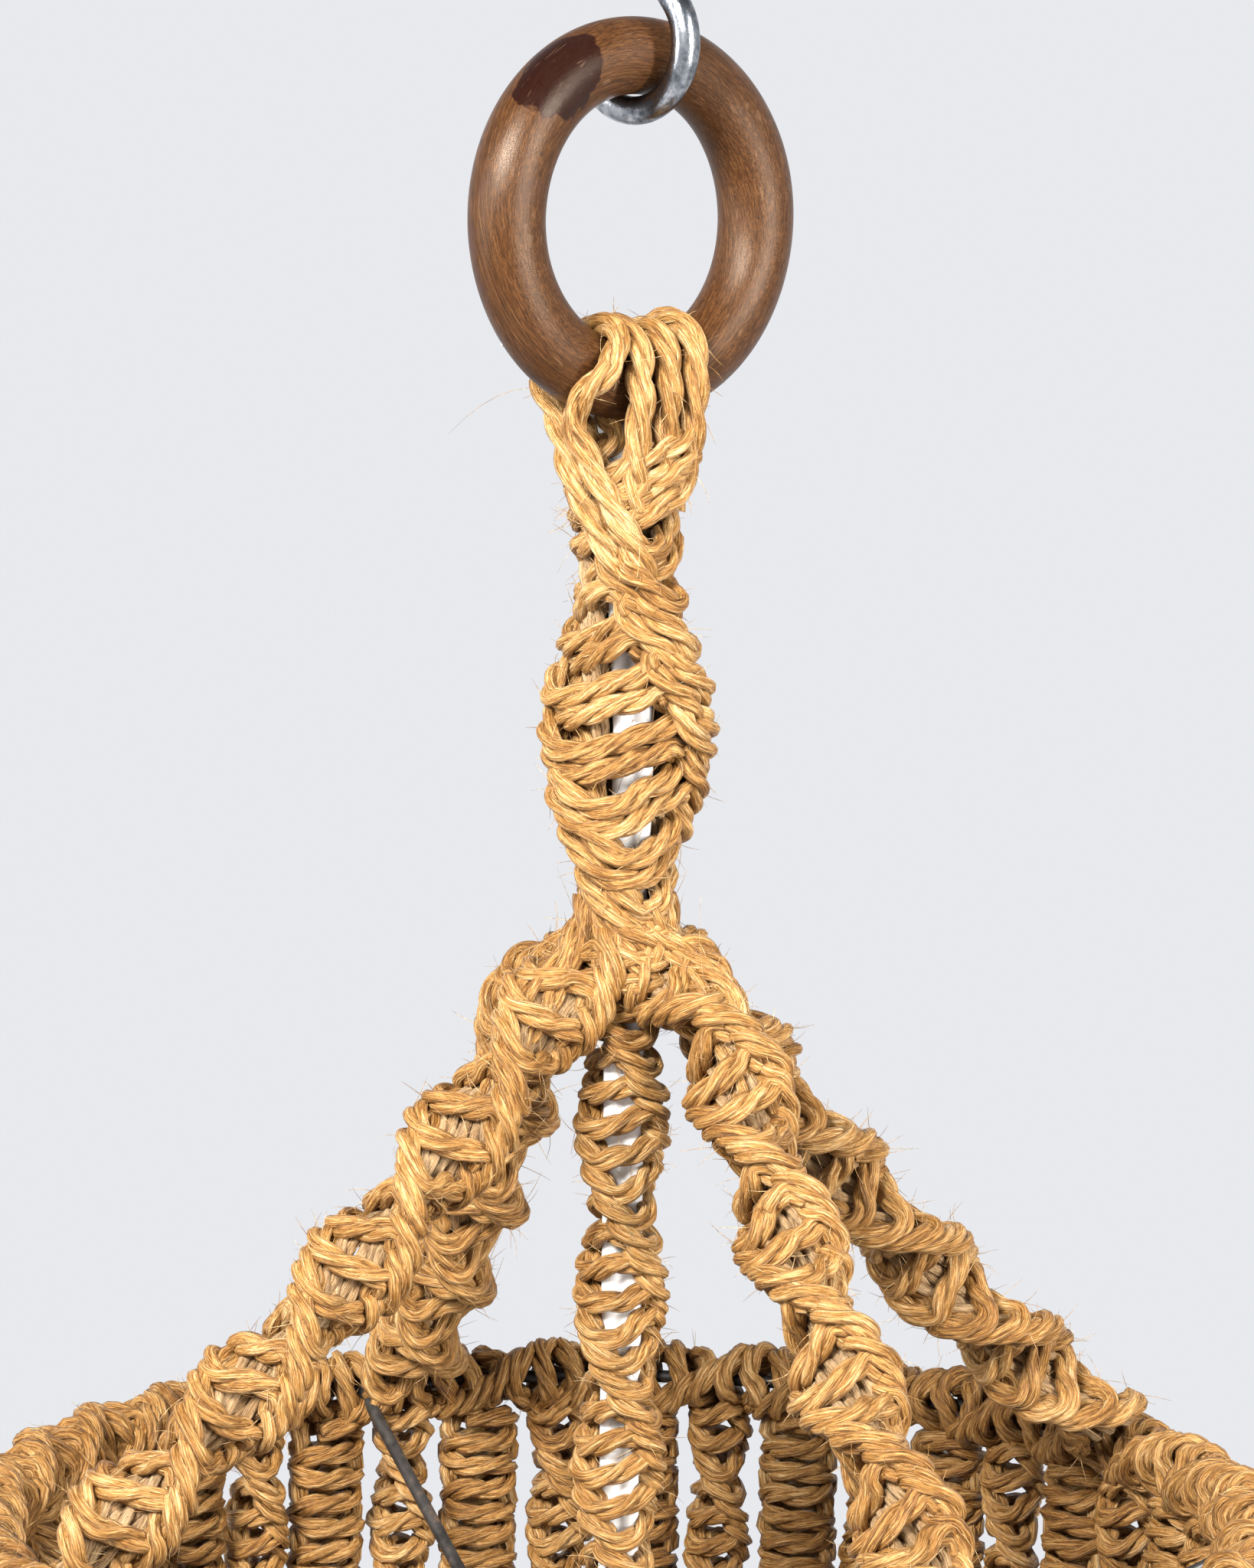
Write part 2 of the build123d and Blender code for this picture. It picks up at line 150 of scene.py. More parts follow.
def soft_box(name, right, front, up, wide, tall, watts):
    """An area light placed by how far right, in front and above the aim point it stands, in metres."""
    data = bpy.data.lights.new(name, "AREA")
    data.shape = "RECTANGLE"
    data.size = wide
    data.size_y = tall
    data.energy = watts
    lamp = bpy.data.objects.new(name, data)
    bpy.context.scene.collection.objects.link(lamp)
    lamp.location = AIM + VIEW_RIGHT * right + VIEW_FRONT * front + Vector((0, 0, up))
    lamp.rotation_mode = "QUATERNION"
    lamp.rotation_quaternion = (AIM - lamp.location).to_track_quat("-Z", "Y")


soft_box("key", right=-0.50, front=1.05, up=0.72, wide=0.40, tall=0.40, watts=54.0)
soft_box("left strip", right=-1.15, front=0.45, up=0.25, wide=0.16, tall=1.10, watts=11.0)
soft_box("right strip", right=0.90, front=0.80, up=0.20, wide=0.18, tall=1.10, watts=32.0)


# %% [markdown]
# ## Material helpers
# Every finish is built from nodes: noise that follows the fibres or the grain, colour ramps, and bump.
# Values that are the same all over are set on the shader's own sockets, and only what varies is linked.

# %% Material helpers
def new_finish(name, **constants):
    """A material with one Principled shader, and its constant values set on the shader's sockets."""
    material = bpy.data.materials.new(name)
    material.use_nodes = True
    shader = material.node_tree.nodes["Principled BSDF"]
    for socket, value in constants.items():
        shader.inputs[socket.replace("_", " ")].default_value = value
    return material, shader


def add_node(material, kind, **settings):
    """A node with its settings. Inputs are given as a dictionary."""
    made = material.node_tree.nodes.new(kind)
    inputs = settings.pop("inputs", {})
    for key, value in settings.items():
        setattr(made, key, value)
    for key, value in inputs.items():
        if isinstance(value, bpy.types.NodeSocket):
            material.node_tree.links.new(value, made.inputs[key])
        else:
            made.inputs[key].default_value = value
    return made


def noise(material, vector, scale, detail=3.0, roughness=0.55):
    """Noise looked up at a vector."""
    inputs = {"Vector": vector, "Scale": scale, "Detail": detail, "Roughness": roughness}
    return add_node(material, "ShaderNodeTexNoise", inputs=inputs).outputs["Fac"]


def stretched(material, value, low, high, to_low=0.0, to_high=1.0):
    """A value spread from one range onto another."""
    inputs = {"Value": value, "From Min": low, "From Max": high, "To Min": to_low, "To Max": to_high}
    return add_node(material, "ShaderNodeMapRange", inputs=inputs).outputs["Result"]


def maths(material, operation, first, second):
    """One sum on two values."""
    return add_node(material, "ShaderNodeMath", operation=operation, inputs={0: first, 1: second}).outputs[0]


def plus(material, first, second):
    """Two values added."""
    return maths(material, "ADD", first, second)


def times(material, first, second):
    """Two values multiplied."""
    return maths(material, "MULTIPLY", first, second)


def ramp(material, value, stops):
    """Colours along a value: stops are (place, (red, green, blue))."""
    made = add_node(material, "ShaderNodeValToRGB", inputs={"Fac": value})
    elements = made.color_ramp.elements
    while len(elements) < len(stops):
        elements.new(0.5)
    for element, (place, colour) in zip(elements, stops):
        element.position = place
        element.color = (*colour, 1)
    return made.outputs["Color"]


def mix_colour(material, amount, first, second, blend="MIX"):
    """One colour laid over another."""
    made = add_node(material, "ShaderNodeMix", data_type="RGBA", blend_type=blend)
    for index, value in ((0, amount), (6, first), (7, second)):
        if isinstance(value, bpy.types.NodeSocket):
            material.node_tree.links.new(value, made.inputs[index])
        else:
            made.inputs[index].default_value = value if index == 0 else (*value, 1)
    return made.outputs[2]


def feed(material, shader, colour=None, roughness=None, height=None, strength=0.5, depth=0.0002):
    """Links what varies over the surface to the shader."""
    link = material.node_tree.links.new
    if colour is not None:
        link(colour, shader.inputs["Base Color"])
    if roughness is not None:
        link(roughness, shader.inputs["Roughness"])
    if height is not None:
        inputs = {"Height": height, "Strength": strength, "Distance": depth}
        bump = add_node(material, "ShaderNodeBump", inputs=inputs)
        link(bump.outputs["Normal"], shader.inputs["Normal"])


def place_of(material):
    """The point on the surface, in metres."""
    return add_node(material, "ShaderNodeTexCoord").outputs["Object"]


# %% [markdown]
# ## Sisal and jute
# A sisal cord is three strands of long pale fibres, dressed with oil, so it has fine streaks along the
# strands and a silky shine across them. A picture of rope would show its seams, so the streaks come
# from noise instead, looked up at a "fibre" vector that each cord's mesh carries: round the strand in two
# of its numbers, along it in the third. The jute filler is duller, greyer and hairier.

# %% Rope finishes
def rope_finish(name, stops, shine, fuzz):
    """Fibrous cord. Shine is the gloss's roughness, and fuzz the strength of its sheen."""
    material, shader = new_finish(
        name, Sheen_Weight=fuzz, Sheen_Roughness=0.35, Sheen_Tint=(1.0, 0.84, 0.58, 1),
        Specular_IOR_Level=0.45, Specular_Tint=(1.0, 0.82, 0.62, 1),
    )
    fibre = add_node(material, "ShaderNodeAttribute", attribute_name="fibre").outputs["Vector"]
    tone = add_node(material, "ShaderNodeAttribute", attribute_name="tone").outputs["Fac"]
    bundles = noise(material, fibre, 1.0, 2.0, 0.5)
    streaks = noise(material, fibre, 2.6, 3.0, 0.65)
    hairs = noise(material, fibre, 6.5, 2.0, 0.6)
    patches = noise(material, place_of(material), 70.0, 2.0, 0.5)
    value = stretched(material, streaks, 0.38, 0.62, 0.0, 0.56)
    value = plus(material, value, stretched(material, bundles, 0.34, 0.66, -0.14, 0.20))
    value = plus(material, value, stretched(material, patches, 0.35, 0.65, -0.08, 0.12))
    value = plus(material, value, tone)
    dark_hairs = stretched(material, hairs, 0.37, 0.47, 0.42, 1.0)
    grey = {0: dark_hairs, 1: dark_hairs, 2: dark_hairs}
    shade = add_node(material, "ShaderNodeCombineColor", inputs=grey)
    colour = mix_colour(material, 1.0, ramp(material, value, stops), shade.outputs[0], "MULTIPLY")
    height = plus(material, times(material, bundles, 1.4), streaks)
    height = plus(material, height, times(material, hairs, 0.35))
    roughness = stretched(material, streaks, 0.3, 0.7, shine + 0.12, shine - 0.10)
    feed(material, shader, colour, roughness, height, 1.0, 0.00055)
    return material


SISAL = rope_finish("sisal_rope", [
    (0.00, (0.075, 0.026, 0.005)),
    (0.25, (0.190, 0.076, 0.015)),
    (0.50, (0.360, 0.168, 0.042)),
    (0.75, (0.520, 0.288, 0.096)),
    (1.00, (0.720, 0.490, 0.245)),
], 0.38, 0.04)
JUTE = rope_finish("jute_core", [
    (0.00, (0.100, 0.044, 0.014)),
    (0.50, (0.310, 0.175, 0.072)),
    (1.00, (0.540, 0.360, 0.190)),
], 0.70, 0.15)
print("rope finishes", SISAL.name, JUTE.name)


# %% [markdown]
# ## Laying a rope
# A cord's centre line is a smooth curve through a few points. Its three strands are tubes that wind
# round that line, left-handed, with one turn in about four and a half diameters. Building them in
# numpy gives evenly spaced rings of points, which bend cleanly round tight knots, where a curve's
# bevel would fold. Each point also gets its fibre vector and a tone, so that no two cords are quite
# the same colour.

# %% Lines and frames
random = np.random.default_rng(11)


def unit(vectors):
    """The same directions, with length 1."""
    return vectors / np.maximum(np.linalg.norm(vectors, axis=-1, keepdims=True), 1e-9)


def distance_along(line):
    """How far along a line each of its points is."""
    steps = np.linalg.norm(np.diff(line, axis=0), axis=1)
    return np.concatenate([[0.0], np.cumsum(steps)])


def even(line, step):
    """The same line with points at even steps."""
    run = distance_along(line)
    count = max(int(round(run[-1] / step)), 3)
    where = np.linspace(0, run[-1], count + 1)
    return np.column_stack([np.interp(where, run, line[:, axis]) for axis in range(3)])


def smooth_line(points, step):
    """A Catmull-Rom curve through points, at even steps."""
    points = np.asarray(points, float)
    ends = np.vstack([2 * points[0] - points[1], points, 2 * points[-1] - points[-2]])
    before, here, after, beyond = ends[:-3], ends[1:-2], ends[2:-1], ends[3:]
    part = np.linspace(0, 1, 11)[:-1][:, None, None]
    curve = 0.5 * (
        2 * here + (after - before) * part
        + (2 * before - 5 * here + 4 * after - beyond) * part**2
        + (3 * here - before - 3 * after + beyond) * part**3
    )
    curve = curve.transpose(1, 0, 2).reshape(-1, 3)
    return even(np.vstack([curve, points[-1]]), step)


def turning_frame(line):
    """(tangent, side, up) at each point of a line, turning about it as little as possible."""
    tangent = unit(np.gradient(line, axis=0))
    start = np.cross(tangent[0], (0.31, 0.22, 0.92))
    sides = [start / np.linalg.norm(start)]
    for direction in tangent[1:]:
        last = sides[-1]
        side = last - direction * (direction @ last)
        sides.append(side / math.sqrt(side @ side))
    side = np.array(sides)
    return tangent, side, np.cross(tangent, side)


# %% Strands and cords
STRAND_SHARE = 0.52           # a strand's radius, as a share of the cord's
STRAND_REACH = 0.485          # from the cord's centre to a strand's
LAY_LENGTH = 4.6              # cord diameters in one turn of the strands
FIBRES_ROUND = 1.7            # noise cells in a strand's radius
FIBRES_ALONG = 8.0            # millimetres in one noise cell along the fibres
USUAL_STRAND_R = 1.1          # the strand that FIBRES_ROUND is meant for, in millimetres
SWELL, SWELL_LENGTH = 0.05, 2.3
FIBRE_SLANT = 0.10            # how fast the fibres turn round a strand, in radians per millimetre


def strand(centre, side, up, run, thick, corners, tone, swing=0.0):
    """One tube round a line, as rings of points with their fibre vectors and tone."""
    angle = np.arange(corners) * 2 * math.pi / corners
    turn = np.broadcast_to(swing, (len(centre),))[:, None] + angle[None, :]
    across = np.cos(turn)[..., None] * side[:, None, :] + np.sin(turn)[..., None] * up[:, None, :]
    thick = np.broadcast_to(thick, (len(centre),))
    rings = centre[:, None, :] + across * thick[:, None, None]
    cells = FIBRES_ROUND * np.mean(thick) / USUAL_STRAND_R
    length = np.broadcast_to((run / FIBRES_ALONG)[:, None], turn.shape)
    fibre = np.stack([np.cos(turn) * cells, np.sin(turn) * cells, length], -1)
    fibre = fibre + random.uniform(0, 90, 3)
    return {"rings": rings, "fibre": fibre, "tone": tone}


def cord(line, radius, corners=8, tone=None, fray=0.0):
    """Three strands laid left-handed round a line."""
    if tone is None:
        tone = random.normal(0.20, 0.055)
    run = distance_along(line)
    tangent, side, up = turning_frame(line)
    lay = random.uniform(0, 2 * math.pi) - 2 * math.pi * run / (LAY_LENGTH * 2 * radius)
    strands = []
    for number in range(3):
        angle = lay + number * 2 * math.pi / 3
        away = np.cos(angle)[:, None] * side + np.sin(angle)[:, None] * up
        reach = radius * STRAND_REACH * (1 + fray * np.linspace(0, 1, len(line)) ** 3)
        centre = line + away * np.broadcast_to(reach, (len(line),))[:, None]
        swell = 1 + SWELL * np.sin(run / SWELL_LENGTH + random.uniform(0, 6)) * random.uniform(0.3, 1)
        thick = radius * STRAND_SHARE * swell
        shade = tone + random.normal(0, 0.03)
        strands.append(strand(centre, side, up, run, thick, corners, shade, run * FIBRE_SLANT))
    return strands


# %% From strands to a mesh
def mesh_of(name, strands):
    """One closed mesh from strands, with the fibre and tone attributes."""
    points, quads, caps, fibres, tones = [], [], [], [], []
    count = 0
    for each in strands:
        rings = each["rings"]
        rows, corners = rings.shape[:2]
        grid = count + np.arange(rows * corners).reshape(rows, corners)
        here, after = grid[:-1], grid[1:]
        faces = np.stack([here, np.roll(here, -1, 1), np.roll(after, -1, 1), after], -1)
        quads.append(faces.reshape(-1, 4))
        first, last = count + rows * corners, count + rows * corners + 1
        start, end = grid[0], grid[-1]
        caps.append(np.stack([np.full(corners, first), np.roll(start, -1), start], -1))
        caps.append(np.stack([np.full(corners, last), end, np.roll(end, -1)], -1))
        points += [rings.reshape(-1, 3), rings[0].mean(0)[None], rings[-1].mean(0)[None]]
        fibre = each["fibre"]
        fibres += [fibre.reshape(-1, 3), fibre[0].mean(0)[None], fibre[-1].mean(0)[None]]
        tones.append(np.full(rows * corners + 2, each["tone"]))
        count += rows * corners + 2
    return raw_mesh(name, np.vstack(points), np.vstack(quads), np.vstack(caps), {
        "fibre": np.vstack(fibres), "tone": np.concatenate(tones),
    })


def raw_mesh(name, points, quads, triangles, attributes):
    """A mesh from arrays: points in millimetres, four-sided and three-sided faces, attributes."""
    mesh = bpy.data.meshes.new(name)
    mesh.vertices.add(len(points))
    mesh.vertices.foreach_set("co", (points * MM).astype(np.float32).ravel())
    corners = np.concatenate([quads.ravel(), triangles.ravel()]).astype(np.int32)
    mesh.loops.add(len(corners))
    mesh.loops.foreach_set("vertex_index", corners)
    starts = np.concatenate([
        np.arange(len(quads)) * 4,
        len(quads) * 4 + np.arange(len(triangles)) * 3,
    ]).astype(np.int32)
    mesh.polygons.add(len(starts))
    mesh.polygons.foreach_set("loop_start", starts)
    mesh.polygons.foreach_set("use_smooth", np.ones(len(starts), bool))
    mesh.update(calc_edges=True)
    for key, values in attributes.items():
        kind, field = ("FLOAT_VECTOR", "vector") if values.ndim == 2 else ("FLOAT", "value")
        layer = mesh.attributes.new(key, kind, "POINT")
        layer.data.foreach_set(field, values.astype(np.float32).ravel())
    return mesh


def put(name, mesh, material, body, slot_name, *replaced):
    """Adds a piece: its finish, the body it rides on, its slot name (not used), and the nodes it stands for.
    """
    piece = bpy.data.objects.new(name, mesh)
    bpy.context.scene.collection.objects.link(piece)
    mesh.materials.append(material)
    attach(piece, body)
    if replaced:
        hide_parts(*replaced)
    print(name, len(mesh.polygons), "faces")


def rope_piece(name, strands, *replaced, material=SISAL, slot_name="sisal_rope"):
    """A piece of rope work on the lamp's own body."""
    put(name, mesh_of(name, strands), material, "lamp", slot_name, *replaced)


# %% [markdown]
# ## Half-knot sinnets
# The thick cords are macrame: two working cords are tied in half knots round filler cords. Each half
# knot puts one cord across the front and the other across the back, each cord then hooks round the
# other at the side, and the whole band turns left-handed as it grows. One table holds the way of a cord
# from a front bar to the next back bar, and everything else is that table, mirrored and turned.

# %% The way of a knotted cord
HALF_KNOT = [
    # share of the width, share of the depth, share of the pitch, how much of the bar's slope
    (0.00, 1.05, 0.00, 0.0),      # middle of the front bar
    (0.42, 0.98, 0.00, -1.0),
    (0.74, 0.60, 0.00, -1.0),     # its end goes in under the other cord
    (0.70, 0.12, 0.10, 0.0),      # turns down, hidden
    (0.88, 0.40, 0.32, 0.0),      # comes out under that cord's lower edge
    (1.06, 0.50, 0.56, 0.0),      # and lies over the next bar's end
    (1.17, 0.14, 0.95, 0.0),
    (1.08, -0.26, 1.06, 0.6),     # on its way round to the back
    (0.72, -0.88, 1.02, 1.0),
]


def guide(points, toward, step=0.5):
    """A sinnet's own line, with a frame whose face looks toward a direction or away from the axis."""
    line = smooth_line(points, step)
    tangent = unit(np.gradient(line, axis=0))
    if isinstance(toward, str):
        outward = line * (1, 1, 0)
        face = unit(outward)
    else:
        face = np.broadcast_to(np.array(toward, float), line.shape)
    face = unit(face - tangent * np.sum(face * tangent, 1)[:, None])
    return {"line": line, "run": distance_along(line), "down": tangent,
            "face": face, "side": np.cross(face, tangent)}


def on_guide(way, side, face, along, turn):
    """Points beside a guide: side and face are offsets, and turn is the band's angle there."""
    clipped = np.clip(along, 0, way["run"][-1])

    def read(values):
        return np.column_stack([np.interp(clipped, way["run"], values[:, axis]) for axis in range(3)])

    down, across, front = unit(read(way["down"])), unit(read(way["side"])), unit(read(way["face"]))
    turned_side = side * np.cos(turn) - face * np.sin(turn)
    turned_face = side * np.sin(turn) + face * np.cos(turn)
    centre = read(way["line"]) + down * (along - clipped)[:, None]
    return centre + across * turned_side[:, None] + front * turned_face[:, None]


def knotted(way, width, depth, pitch, slope, half_turn, face_at, start, end, radius,
            step=0.6, corners=8, twin=0.0, loose=0.18, scale=None):
    """The two working cords of a half-knot sinnet along a guide."""
    count = int((end - start) / pitch)
    strands = []
    drift = random.normal(0, 0.05, count + 3) * pitch
    for first in (0, 1):
        points = []
        for knot in range(-first, count):
            sign = 1 if (knot + first) % 2 == 0 else -1
            for x, y, along, bar in HALF_KNOT:
                climb = bar * slope * x * width
                points.append((sign * x * width, sign * y * depth,
                               start + (knot + along) * pitch + climb + drift[knot + 1]))
        points = np.array(points)
        points += random.normal(0, loose, points.shape)
        size = np.ones(len(points)) if scale is None else scale(points[:, 2])
        turn = -math.pi * (points[:, 2] - face_at) / half_turn
        placed = on_guide(way, points[:, 0] * size, points[:, 1], points[:, 2], turn)
        line = smooth_line(placed, step)
        tone = random.normal(0.22, 0.04)
        if not twin:
            strands += cord(line, radius, corners, tone)
            continue
        nearest = np.clip(np.searchsorted(way["run"], np.interp(
            np.linspace(0, 1, len(line)), np.linspace(0, 1, len(points)), points[:, 2])),
            0, len(way["run"]) - 1)
        outward = unit(line - way["line"][nearest])
        apart = unit(np.cross(unit(np.gradient(line, axis=0)), outward))
        for sign in (-1, 1):
            strands += cord(even(line + apart * sign * twin, step), radius, corners, tone)
    return strands


print("half-knot table", len(HALF_KNOT), "points")

# %% [markdown]
# ## The top sinnet
# Under the ring eight cords work as four pairs: each bar of the sinnet is a pair of parallel cords, the
# band is widest in the middle, and a half turn takes about 62 mm. The straight filler cords and the
# white flex show through the windows between the bars.

# %% Top sinnet
TOWARD = VIEW_FRONT
top_way = guide([
    (0, 0, SINNET_TOP_Z + 4), (0, 0, -150), (0, 0, -180), (0, 0, SINNET_LOW_Z - 6),
], TOWARD)


BELLY_AT, BELLY_LENGTH, WAIST = 42.0, 22.0, 0.62


def belly(along):
    """Width of the band along the top sinnet, as a share of its widest."""
    return WAIST + (1 - WAIST) * np.exp(-((along - BELLY_AT) / BELLY_LENGTH) ** 2)


top_strands = knotted(
    top_way, width=11.7, depth=6.4, pitch=9.1, slope=0.28, half_turn=62.0, face_at=41.0,
    start=-2.0, end=87.0, radius=2.2, twin=1.95, scale=belly, loose=0.3,
)
rope_piece("top_sinnet_cords", top_strands, "top_sinnet")


def filler(way, offsets, radius, half_turn, face_at, start, end):
    """Straight filler cords inside a sinnet. Their offsets are sideways and towards the band's face."""
    strands = []
    for side, face in offsets:
        along = np.linspace(start, end, max(int((end - start) / 5), 4))
        turn = -math.pi * (along - face_at) / half_turn
        points = on_guide(way, np.full(len(along), side), np.full(len(along), face), along, turn)
        points += random.normal(0, 0.25, points.shape)
        strands += cord(smooth_line(points, 1.0), radius, 6, random.normal(0.30, 0.06))
    return strands


core_places = [(-6.6, 0.6), (-5.2, 3.0), (-2.6, -2.8), (5.6, -1.6), (1.6, -3.4), (-6.0, -2.2)]
core_strands = filler(
    top_way, core_places, radius=1.9, half_turn=400.0, face_at=41.0, start=6.0, end=76.0
)
rope_piece("top_sinnet_fillers", core_strands, "top_sinnet_core", material=JUTE, slot_name="jute_core")

# %% [markdown]
# ## The four supports
# Below the junction the cords part into four thinner sinnets, which sag a little on their way out to
# the rim. Their guide repeats the CAD arc: a start near the axis, an end on the rim and a sag between.

# %% Supports
# heading at the rim, heading and radius at the junction, and where the first broad lobe faces front
SUPPORTS = {
    "right": (-9.1, (-9.1, 16.5), 28.0),
    "back": (72.7, (100.0, 20.5), 20.0),
    "left": (170.9, (170.9, 16.5), 12.0),
    "front": (260.9, (281.0, 20.6), 31.0),
}
SUPPORT_SAG = 4.0


def at(heading, radius, z):
    """A point at a compass heading and radius round the lamp's axis."""
    turn = math.radians(heading)
    return np.array((radius * math.cos(turn), radius * math.sin(turn), z))


def support_guide(side):
    """A support's line from the junction to the rim."""
    heading, (start_heading, start_radius), _ = SUPPORTS[side]
    start = at(start_heading, start_radius, JUNCTION_Z - 8.5)
    end = at(heading, RIM_R - 2.0, RIM_Z + 3.0)
    run = end - start
    inward = unit(np.cross(np.cross(run, (0, 0, 1)), run))
    if inward[2] > 0:
        inward = -inward
    points = [at(start_heading, 6.0, JUNCTION_Z + 1.5)]
    for part in (0.0, 0.2, 0.4, 0.6, 0.8, 1.0):
        points.append(start + run * part + inward * SUPPORT_SAG * 4 * part * (1 - part))
    return guide(points, TOWARD)


SUPPORT_HALF_TURN = 29.3
SUPPORT_FILLERS = [(-3.3, 0.0), (0.0, 0.3), (3.3, 0.0)]
support_strands = {}
for side, (_, _, lobe) in SUPPORTS.items():
    way = support_guide(side)
    length = way["run"][-1]
    support_strands[side] = knotted(
        way, width=7.0, depth=3.5, pitch=6.9, slope=0.34, half_turn=SUPPORT_HALF_TURN, face_at=lobe,
        start=1.0, end=length - 1.0, radius=2.35,
    )
    rope_piece("support_cords_" + side, support_strands[side], "support_" + side)
    fillers = filler(
        way, SUPPORT_FILLERS, radius=2.1, half_turn=SUPPORT_HALF_TURN, face_at=lobe,
        start=3.0, end=length - 4.0,
    )
    rope_piece("support_fillers_" + side, fillers, "support_core_" + side,
               material=JUTE, slot_name="jute_core")

# %% [markdown]
# ## The centre sinnet
# The flex is dressed with a lighter sinnet whose single bars leave it showing between them.

# %% Centre sinnet
centre_way = guide([
    (0, 0, CENTRE_TOP_Z + 6), (0, 0, -250), (0, 0, -290), (0, 0, CENTRE_LOW_Z + 2),
], TOWARD)
centre_strands = knotted(
    centre_way, width=5.9, depth=4.0, pitch=5.3, slope=0.30, half_turn=31.0, face_at=22.0,
    start=0.0, end=centre_way["run"][-1], radius=2.1,
)
rope_piece("centre_sinnet_cords", centre_strands, "centre_sinnet")

# %% [markdown]
# ## Rims and columns
# The drum is two wire hoops dressed with half-knot spirals. Between them stand 22 pairs of columns: a
# flat one of square knots and a round one of half knots. A square knot sends the same cord across the
# front each time, so the band doesn't turn. Columns of one kind are alike, so two of each kind are
# laid and then copied round the hoop.

# %% Rims
def rim_cords(z, phase):
    """Half-knot spiral round a rim's wire."""
    around = np.linspace(0, 2 * math.pi, 91) + phase
    points = np.column_stack([RIM_R * np.cos(around), RIM_R * np.sin(around), np.full(91, z)])
    way = guide(points, "outward", 1.0)
    length = way["run"][-1]
    half_turns = 33
    return knotted(
        way, width=5.0, depth=3.6, pitch=length / (4 * half_turns), slope=0.3,
        half_turn=length / half_turns, face_at=0.0, start=0.0, end=length, radius=2.3,
        step=1.35, corners=6,
    )


rim_strands = {}
for name, z, phase in (("upper", RIM_Z, 1.2), ("lower", LOW_RIM_Z, 2.9)):
    rim_strands[name] = rim_cords(z, phase)
    rope_piece("rim_cords_" + name, rim_strands[name], "rim_cover_" + name)

# %% Columns
PAIRS = 22
FIRST_COLUMN = 48.2
COLUMN_TOP = RIM_Z - 6.5
COLUMN_LOW = LOW_RIM_Z + 6.5
FLAT_FRONT = [(-0.62, 1.0, 0.0), (0.0, 1.12, 0.0), (0.62, 1.0, 0.0), (1.0, 0.35, 0.22), (1.04, 0.1, 0.5),
              (1.0, 0.35, 0.78)]
FLAT_BACK = [(0.55, -1.0, 0.0), (-0.55, -1.0, 0.0), (-0.98, -0.1, 0.16), (-0.96, 0.95, 0.5),
             (-0.98, -0.1, 0.84)]


def upright(x, y):
    """A straight guide for a column at the rim, facing outward."""
    return guide([(x, y, COLUMN_TOP), (x, y, COLUMN_TOP - 60), (x, y, COLUMN_LOW + 60), (x, y, COLUMN_LOW)],
                 "outward", 2.0)


def flat_column():
    """Square knots: one cord always in front and the other always behind."""
    way = upright(RIM_R, 0)
    pitch = 4.9
    count = int(way["run"][-1] / pitch)
    strands = []
    for table in (FLAT_FRONT, FLAT_BACK):
        points = []
        for knot in range(count):
            sign = 1 if knot % 2 == 0 else -1
            for x, y, along in table:
                points.append((sign * x * 5.9, y * 2.7, (knot + along) * pitch + 1.0))
        points = np.array(points)
        points += random.normal(0, 0.15, points.shape)
        placed = on_guide(way, points[:, 0], points[:, 1], points[:, 2], 0 * points[:, 2])
        strands += cord(smooth_line(placed, 1.5), 2.3, 5)
    return strands


def spiral_column():
    """Half knots that turn once round in about 50 mm."""
    way = upright(RIM_R, 0)
    return knotted(
        way, width=4.3, depth=2.9, pitch=5.4, slope=0.3, half_turn=25.0, face_at=0.0,
        start=0.0, end=way["run"][-1], radius=2.2, step=1.5, corners=5, loose=0.15,
    )


def turned_copy(strands, heading):
    """The same strands turned about the lamp's axis, with a tone of their own."""
    turn = math.radians(heading)
    spin = np.array(((math.cos(turn), -math.sin(turn), 0), (math.sin(turn), math.cos(turn), 0), (0, 0, 1)))
    shift = random.normal(0, 0.04)
    moved = random.uniform(0, 40, 3)
    return [{"rings": s["rings"] @ spin.T, "fibre": s["fibre"] + moved, "tone": s["tone"] + shift}
            for s in strands]


SIDES = ["right", "back", "left", "front"]


def quarter(heading):
    """The name of the part of the drum that a heading is in."""
    starts = [SUPPORTS[name][0] for name in SIDES]
    turn = (heading - starts[0]) % 360
    number = sum(turn >= start - starts[0] for start in starts) - 1
    return SIDES[number] + "_to_" + SIDES[(number + 1) % 4]


def ranked(kind, makers, first_heading):
    """Copies the made columns round the drum, grouped as the nodes are."""
    groups = {}
    for number in range(PAIRS):
        heading = first_heading + number * 360 / PAIRS
        groups.setdefault(quarter(heading), []).extend(turned_copy(makers[number % len(makers)], heading))
    for name, strands in groups.items():
        rope_piece(f"{kind}_cords_{name}", strands, f"{kind}_{name}")


PAIR_STEP = 360 / PAIRS
ranked("flat_columns", [flat_column(), flat_column()], FIRST_COLUMN)
ranked("spiral_columns", [spiral_column(), spiral_column()], FIRST_COLUMN + PAIR_STEP / 2)


# %% [markdown]
# ## The fringe
# Each column's four cords come out under the lower rim and are cut off about 50 mm down. A cut laid rope
# opens at its end, so the strands of each cord spread apart towards the cut.

# %% Fringe
def tassel():
    """Four cord ends hanging below one column."""
    strands = []
    top, low = LOW_RIM_Z - 5.0, node_box("fringe_flat_left_to_front")[0][2]
    for number in range(4):
        angle = number * math.pi / 2 + 0.6
        spread = np.array((math.cos(angle), math.sin(angle), 0))
        start = np.array((RIM_R, 0, top)) + spread * 2.4
        end = np.array((RIM_R, 0, low + random.uniform(0, 2.5))) + spread * random.uniform(3.0, 4.6)
        middle = (start + end) / 2 + random.normal(0, 0.8, 3)
        strands += cord(smooth_line([start, middle, end], 1.6), 1.9, 5, fray=0.7)
    return strands


